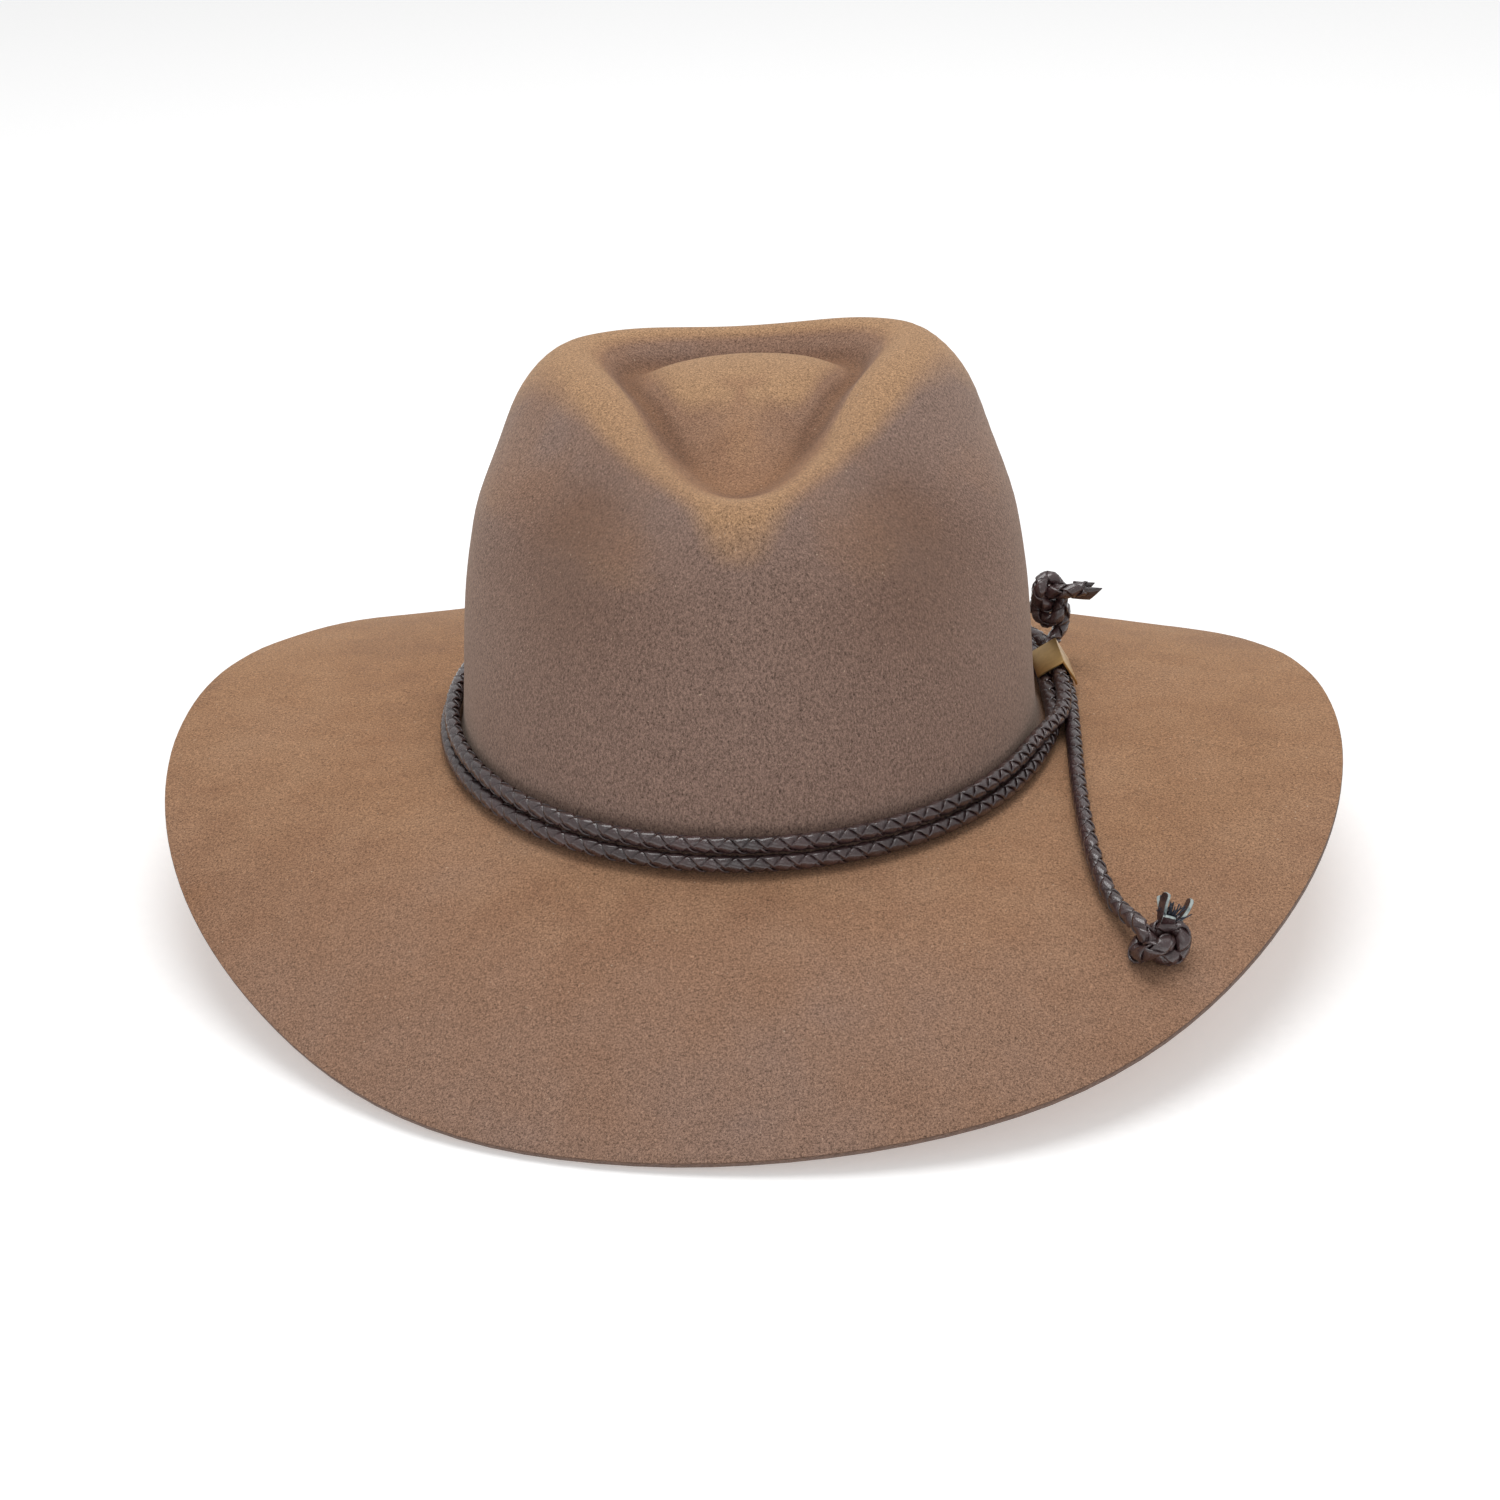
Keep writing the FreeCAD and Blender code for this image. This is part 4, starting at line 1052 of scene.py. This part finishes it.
def fray_core():
    """Fine threads that start together and stray apart."""
    draw = random.Random(4)
    bm = bmesh.new()
    uv = bm.loops.layers.uv.new("lace")
    place = placed(ENDS_FROM, UP, ENDS_WAY)
    for _ in range(TUFT_THREADS):
        turn = draw.uniform(0, 2 * math.pi)
        lean = math.radians(draw.uniform(2, 38))
        bend = math.radians(draw.uniform(-30, 60))
        length = draw.uniform(5.5, 9.5) * MM
        point = Vector((draw.uniform(-1, 1), draw.uniform(-1, 1), -1.0)) * MM
        line = []
        for i in range(THREAD_STEPS):
            a = lean + bend * i / THREAD_STEPS
            line.append(place @ point)
            turn += draw.uniform(-0.4, 0.4)
            ahead = Vector((math.sin(a) * math.cos(turn), math.sin(a) * math.sin(turn), math.cos(a)))
            point = point + ahead * (length / THREAD_STEPS)
        outwards = [side for tangent, side, other in frames_along(line)]
        sweep_lace(bm, uv, line, outwards, CORE_THREAD, CORE_THREAD)
    return finish_mesh(bm, "core_thread_tuft", CORE_FINISH)


LACE_EDGE = make_plain_finish("cut_lace_edge", shade(122, 138, 140), shade(206, 216, 212), 0.6, 900)
CORE_FINISH = make_plain_finish("core_threads", shade(22, 24, 32), shade(58, 62, 78), 0.6, 700)
# Turn round the core, lean, curl on the way out, and length of each loose lace.
LOOSE_LACES = [(0.2, 0.75, -0.7, 9.0), (2.3, 0.1, 0.5, 7.5), (3.5, 0.35, -0.6, 8.5), (4.6, 0.9, -0.3, 3.4)]
lace_ends = joined("loose_lace_ends", [
    lace_end("lace_end_%d" % k, turn, splay, curl, length * MM)
    for k, (turn, splay, curl, length) in enumerate(LOOSE_LACES)])
core_tuft = fray_core()
print("tuft faces", len(core_tuft.data.polygons))
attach(lace_ends, BAND)
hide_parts("knot_lower_lace_ends")
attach(core_tuft, BAND)
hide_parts("knot_lower_core_threads")

# %% Cut tip above the upper knot
TIP_FROM = BREAK + Vector((101.5, 39.3, 24.0)) * MM
TIP_WAY = Vector((1.0, -0.1, -0.12)).normalized()
TIP_WIDTH = LACE_END * 1.25
# Each strip of the tip: how far it lies aside and above, its length, and how far its lower corner is cut.
TIP_STRIPS = [(-0.9, 0.5, 7.0, 3.2), (0.7, -0.4, 9.5, 3.6)]


def tip_strip(name, aside, above, length, slant):
    strip = start(name, bpy.ops.mesh.primitive_plane_add, size=1)
    bpy.ops.transform.resize(value=(length * MM, TIP_WIDTH, 1))
    bpy.ops.transform.translate(value=(length / 2 * MM, 0, 0))
    bpy.ops.mesh.subdivide(number_cuts=3)
    mesh = bmesh.from_edit_mesh(strip.data)
    for v in mesh.verts:
        along = v.co.x / (length * MM)
        across = v.co.y / (TIP_WIDTH / 2)
        v.co.x -= (1 - across) / 2 * slant * MM * along
        v.co.z += (-0.9 * along ** 2 - 0.5 * across ** 2) * MM
    bmesh.update_edit_mesh(strip.data)
    done(strip, LACE_FINISH)
    strip.data.transform(Matrix.Translation((0, above * MM, aside * MM)))
    strip.data.transform(Matrix.Rotation(math.pi / 2, 4, "X"))
    strip.data.transform(placed(TIP_FROM, Vector((1, 0, 0)), TIP_WAY))
    shape_with(strip, "SOLIDIFY", thickness=LACE_END_THICKNESS, offset=0)
    round_edges(strip, 0.3 * MM, 2, 60)
    return smooth(strip, 50)


cut_tip = joined("cut_lace_tip", [
    tip_strip("tip_strip_%d" % k, *strip) for k, strip in enumerate(TIP_STRIPS)])
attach(cut_tip, BAND)
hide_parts("knot_upper_cut_end")

# %% [markdown]
# The slide is a strip of brushed brass folded to a ridge, its long edges pinched in over the cords.
# An edge as long as the slide is extruded up one face and down the other, Solidify makes the sheet,
# and a small bevel gives the bright worn edges. The maker's engraving is left out.

# %% Slide
SLIDE_LEG, SLIDE_PINCH = 9.6 * MM, 1.4 * MM
SLIDE_PINCH_ANGLE = math.radians(12)
SLIDE_EDGE = 0.14 * MM


def make_brass_finish():
    brass = Finish("brushed_brass", metallic=1.0)
    brushed = brass.noise(brass.place((0.12, 1.0, 1.0)), 2600, 3, 0.7)
    cloud = brass.noise(brass.place(), 160, 3, 0.6)
    colour = brass.mix(brass.spread(cloud, 0.35, 0.7), shade(206, 170, 112), shade(176, 142, 92))
    return brass.surface(base_color=colour, roughness=brushed * 0.25 + cloud * 0.1 + 0.22,
                         normal=brass.bump(brushed, 0.00006, 0.5))


def fold_slide():
    fold = math.radians(45)
    lip = fold - SLIDE_PINCH_ANGLE
    face = SLIDE_LEG - SLIDE_PINCH
    corner = Vector((face * math.sin(fold), 0, -face * math.cos(fold)))
    edge = corner + Vector((SLIDE_PINCH * math.sin(lip), 0, -SLIDE_PINCH * math.cos(lip)))
    mirrored = [Vector((-p.x, 0, p.z)) for p in (edge, corner)]
    profile = mirrored + [Vector(), corner, edge]
    slide = start_edge("folded_slide", SLIDE_LENGTH, [(-edge.x, y, edge.z) for y in (0, SLIDE_LENGTH)])
    for a, b in zip(profile, profile[1:]):
        extrude(b - a)
    done(slide, BRASS)
    if slide.data.polygons[0].normal.z < 0:
        slide.data.flip_normals()
    shape_with(slide, "SOLIDIFY", thickness=SLIDE_METAL, offset=-1, use_even_offset=True)
    round_edges(slide, SLIDE_EDGE, 3, 30)
    slide.data.transform(slide_matrix())
    return smooth(slide, 35)


BRASS = make_brass_finish()
slide = fold_slide()
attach(slide, SLIDE)
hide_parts("cord_slide")
print("slide faces", len(slide.data.polygons))

# %% [markdown]
# A plain pale floor and soft light: a broad lamp overhead, a little to the rear, a weak one in front,
# and a pale sky to fill the shadows. The paper glows faintly, as paper lit from behind does.

# %% Floor and light
FLOOR_HALF = 6.0
FLOOR_GLOW = 0.35
PAPER_DARK, PAPER_LIGHT = (0.86, 0.86, 0.86, 1), (0.9, 0.9, 0.9, 1)
# Each lamp's name, place, width and power in watts.
LAMPS = [("overhead", (0.0, 0.25, 1.65), 1.3, 13.5), ("front_fill", (0.3, -1.5, 0.9), 0.9, 1.4)]
LAMPS_AIM = BREAK + UP * 0.03
SKY_STRENGTH = 0.48


def make_floor():
    floor = start("floor", bpy.ops.mesh.primitive_plane_add, size=FLOOR_HALF * 2)
    bpy.ops.mesh.subdivide(number_cuts=4)
    paper = Finish("pale_paper", roughness=0.9, specular_ior_level=0.1, emission_strength=FLOOR_GLOW,
                   emission_color=(1, 1, 1, 1))
    fibres = paper.noise(paper.place(), 300, 2, 0.5)
    done(floor, paper.surface(base_color=paper.ramp(fibres, (0.3, PAPER_DARK), (0.7, PAPER_LIGHT))))


def add_lamp(name, place, size, power):
    data = bpy.data.lights.new(name, "AREA")
    data.shape = "DISK"
    data.size = size
    data.energy = power
    lamp = bpy.data.objects.new(name, data)
    bpy.context.collection.objects.link(lamp)
    lamp.location = place
    lamp.rotation_euler = (LAMPS_AIM - Vector(place)).to_track_quat("-Z", "Y").to_euler()


make_floor()
for lamp in LAMPS:
    add_lamp(*lamp)
world = bpy.data.worlds.new("sky")
bpy.context.scene.world = world
world.use_nodes = True
world.node_tree.nodes["Background"].inputs["Color"].default_value = (1, 1, 1, 1)
world.node_tree.nodes["Background"].inputs["Strength"].default_value = SKY_STRENGTH
bpy.context.scene.view_settings.view_transform = "Standard"
